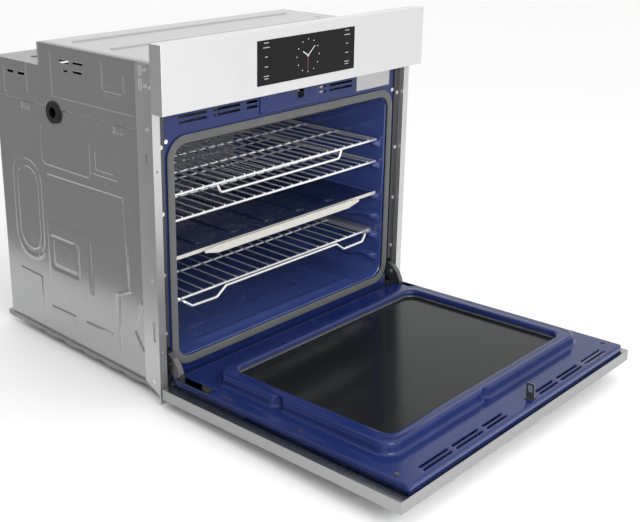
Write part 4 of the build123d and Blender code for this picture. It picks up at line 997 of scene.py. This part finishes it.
# %% [markdown]
# ## The lit screen
# The touch glass is dark until its marks light up. Dial dots, two hands and a thin red
# seconds hand sit a tenth of a millimetre in front of the glass, and short plain bars
# stand for the touch keys on both sides. They are flat strips that glow.

# %% Screen marks
def strip_mark(x0, z0, x1, z1, wide0, wide1):
    """A flat tapering bar from one point to another: four corners square to its line."""
    dx, dz = x1 - x0, z1 - z0
    size = math.hypot(dx, dz)
    sx, sz = -dz / size / 2, dx / size / 2
    return [(x0 - sx * wide0, z0 - sz * wide0), (x1 - sx * wide1, z1 - sz * wide1),
            (x1 + sx * wide1, z1 + sz * wide1), (x0 + sx * wide0, z0 + sz * wide0)]


def marks_piece(name, corners, material, proud=0.12):
    """Thin lit bars in front of the glass, each a closed slab."""
    flat_marks = np.array(corners).reshape(-1, 4, 2)
    verts, faces = [], []
    for k, quad in enumerate(flat_marks):
        for y_at in (PANEL_Y - proud, PANEL_Y - 0.02):
            verts.append(in_frame(quad[:, 0], y_at, quad[:, 1]))
        b = k * 8
        faces += [[b, b + 1, b + 2, b + 3], [b + 7, b + 6, b + 5, b + 4]]
        faces += [[b + i, b + i + 4, b + (i + 1) % 4 + 4, b + (i + 1) % 4] for i in range(4)]
    mesh = bpy.data.meshes.new(name)
    mesh.from_pydata(np.concatenate(verts).tolist(), [], faces)
    shell = bmesh.new()
    shell.from_mesh(mesh)
    bmesh.ops.recalc_face_normals(shell, faces=shell.faces)
    shell.to_mesh(mesh)
    shell.free()
    piece = bpy.data.objects.new(name, mesh)
    bpy.context.scene.collection.objects.link(piece)
    dress(piece, material)
    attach(piece, "casing")
    return piece


def glow(name, colour, strength):
    """A lit mark: the emission varies a little over it, as a backlight does."""
    made, tree, shader = finish(
        name, Base_Color=(0.1, 0.1, 0.1, 1), Roughness=0.4, Emission_Strength=strength
    )
    field = use(tree, ripple, Grain=60.0)
    field.inputs["Colour A"].default_value = tuple(0.8 * c for c in colour[:3]) + (1,)
    field.inputs["Colour B"].default_value = colour
    tree.links.new(field.outputs["Color"], shader.inputs["Emission Color"])
    return made


glow_white = glow("glow_white", (0.95, 0.95, 0.95, 1), 1.1)
glow_grey = glow("glow_grey", (0.5, 0.5, 0.5, 1), 0.8)
glow_red = glow("glow_red", (0.45, 0.01, 0.01, 1), 0.9)
mid = 0.5 * (588.8 + 675.2)
bars = []
for hour in range(12):
    a = math.radians(30 * hour)
    dx, dz = math.sin(a), math.cos(a)
    bars.append(strip_mark(31.5 * dx, mid + 31.5 * dz, 33.3 * dx, mid + 33.3 * dz, 1.8, 1.8))
for degrees, size, wide in ((302.0, 18.0, 1.7), (48.0, 27.0, 1.5)):
    dx, dz = math.sin(math.radians(degrees)), math.cos(math.radians(degrees))
    bars.append(strip_mark(-2.5 * dx, mid - 2.5 * dz, size * dx, mid + size * dz, wide, wide * 0.8))
marks_piece("clock_marks", bars, glow_white)
marks_piece("clock_seconds", [strip_mark(0, mid + 5, -0.8, mid - 30, 0.9, 0.6)], glow_red, 0.2)
keys = []
for side in (-1, 1):
    for z_at, widths in ((670, (13,)), (661, (18,)), (643, (7,)), (624, (9,)), (606, (14,)), (601, (11,))):
        for wide in widths:
            keys.append(strip_mark(side * 118 - wide / 2, z_at, side * 118 + wide / 2, z_at, 1.7, 1.7))
marks_piece("touch_keys", keys, glow_grey)

# %% [markdown]
# ## Closing
# The last step compares the dressed model with the box kept at the start and prints how much it grew.

# %% Finish
now_box = [list(corner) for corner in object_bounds()]
grown = [[round(1000 * (b - a), 2) for a, b in zip(p, q)] for p, q in zip(cad_box, now_box)]
print("box grew by mm", grown)
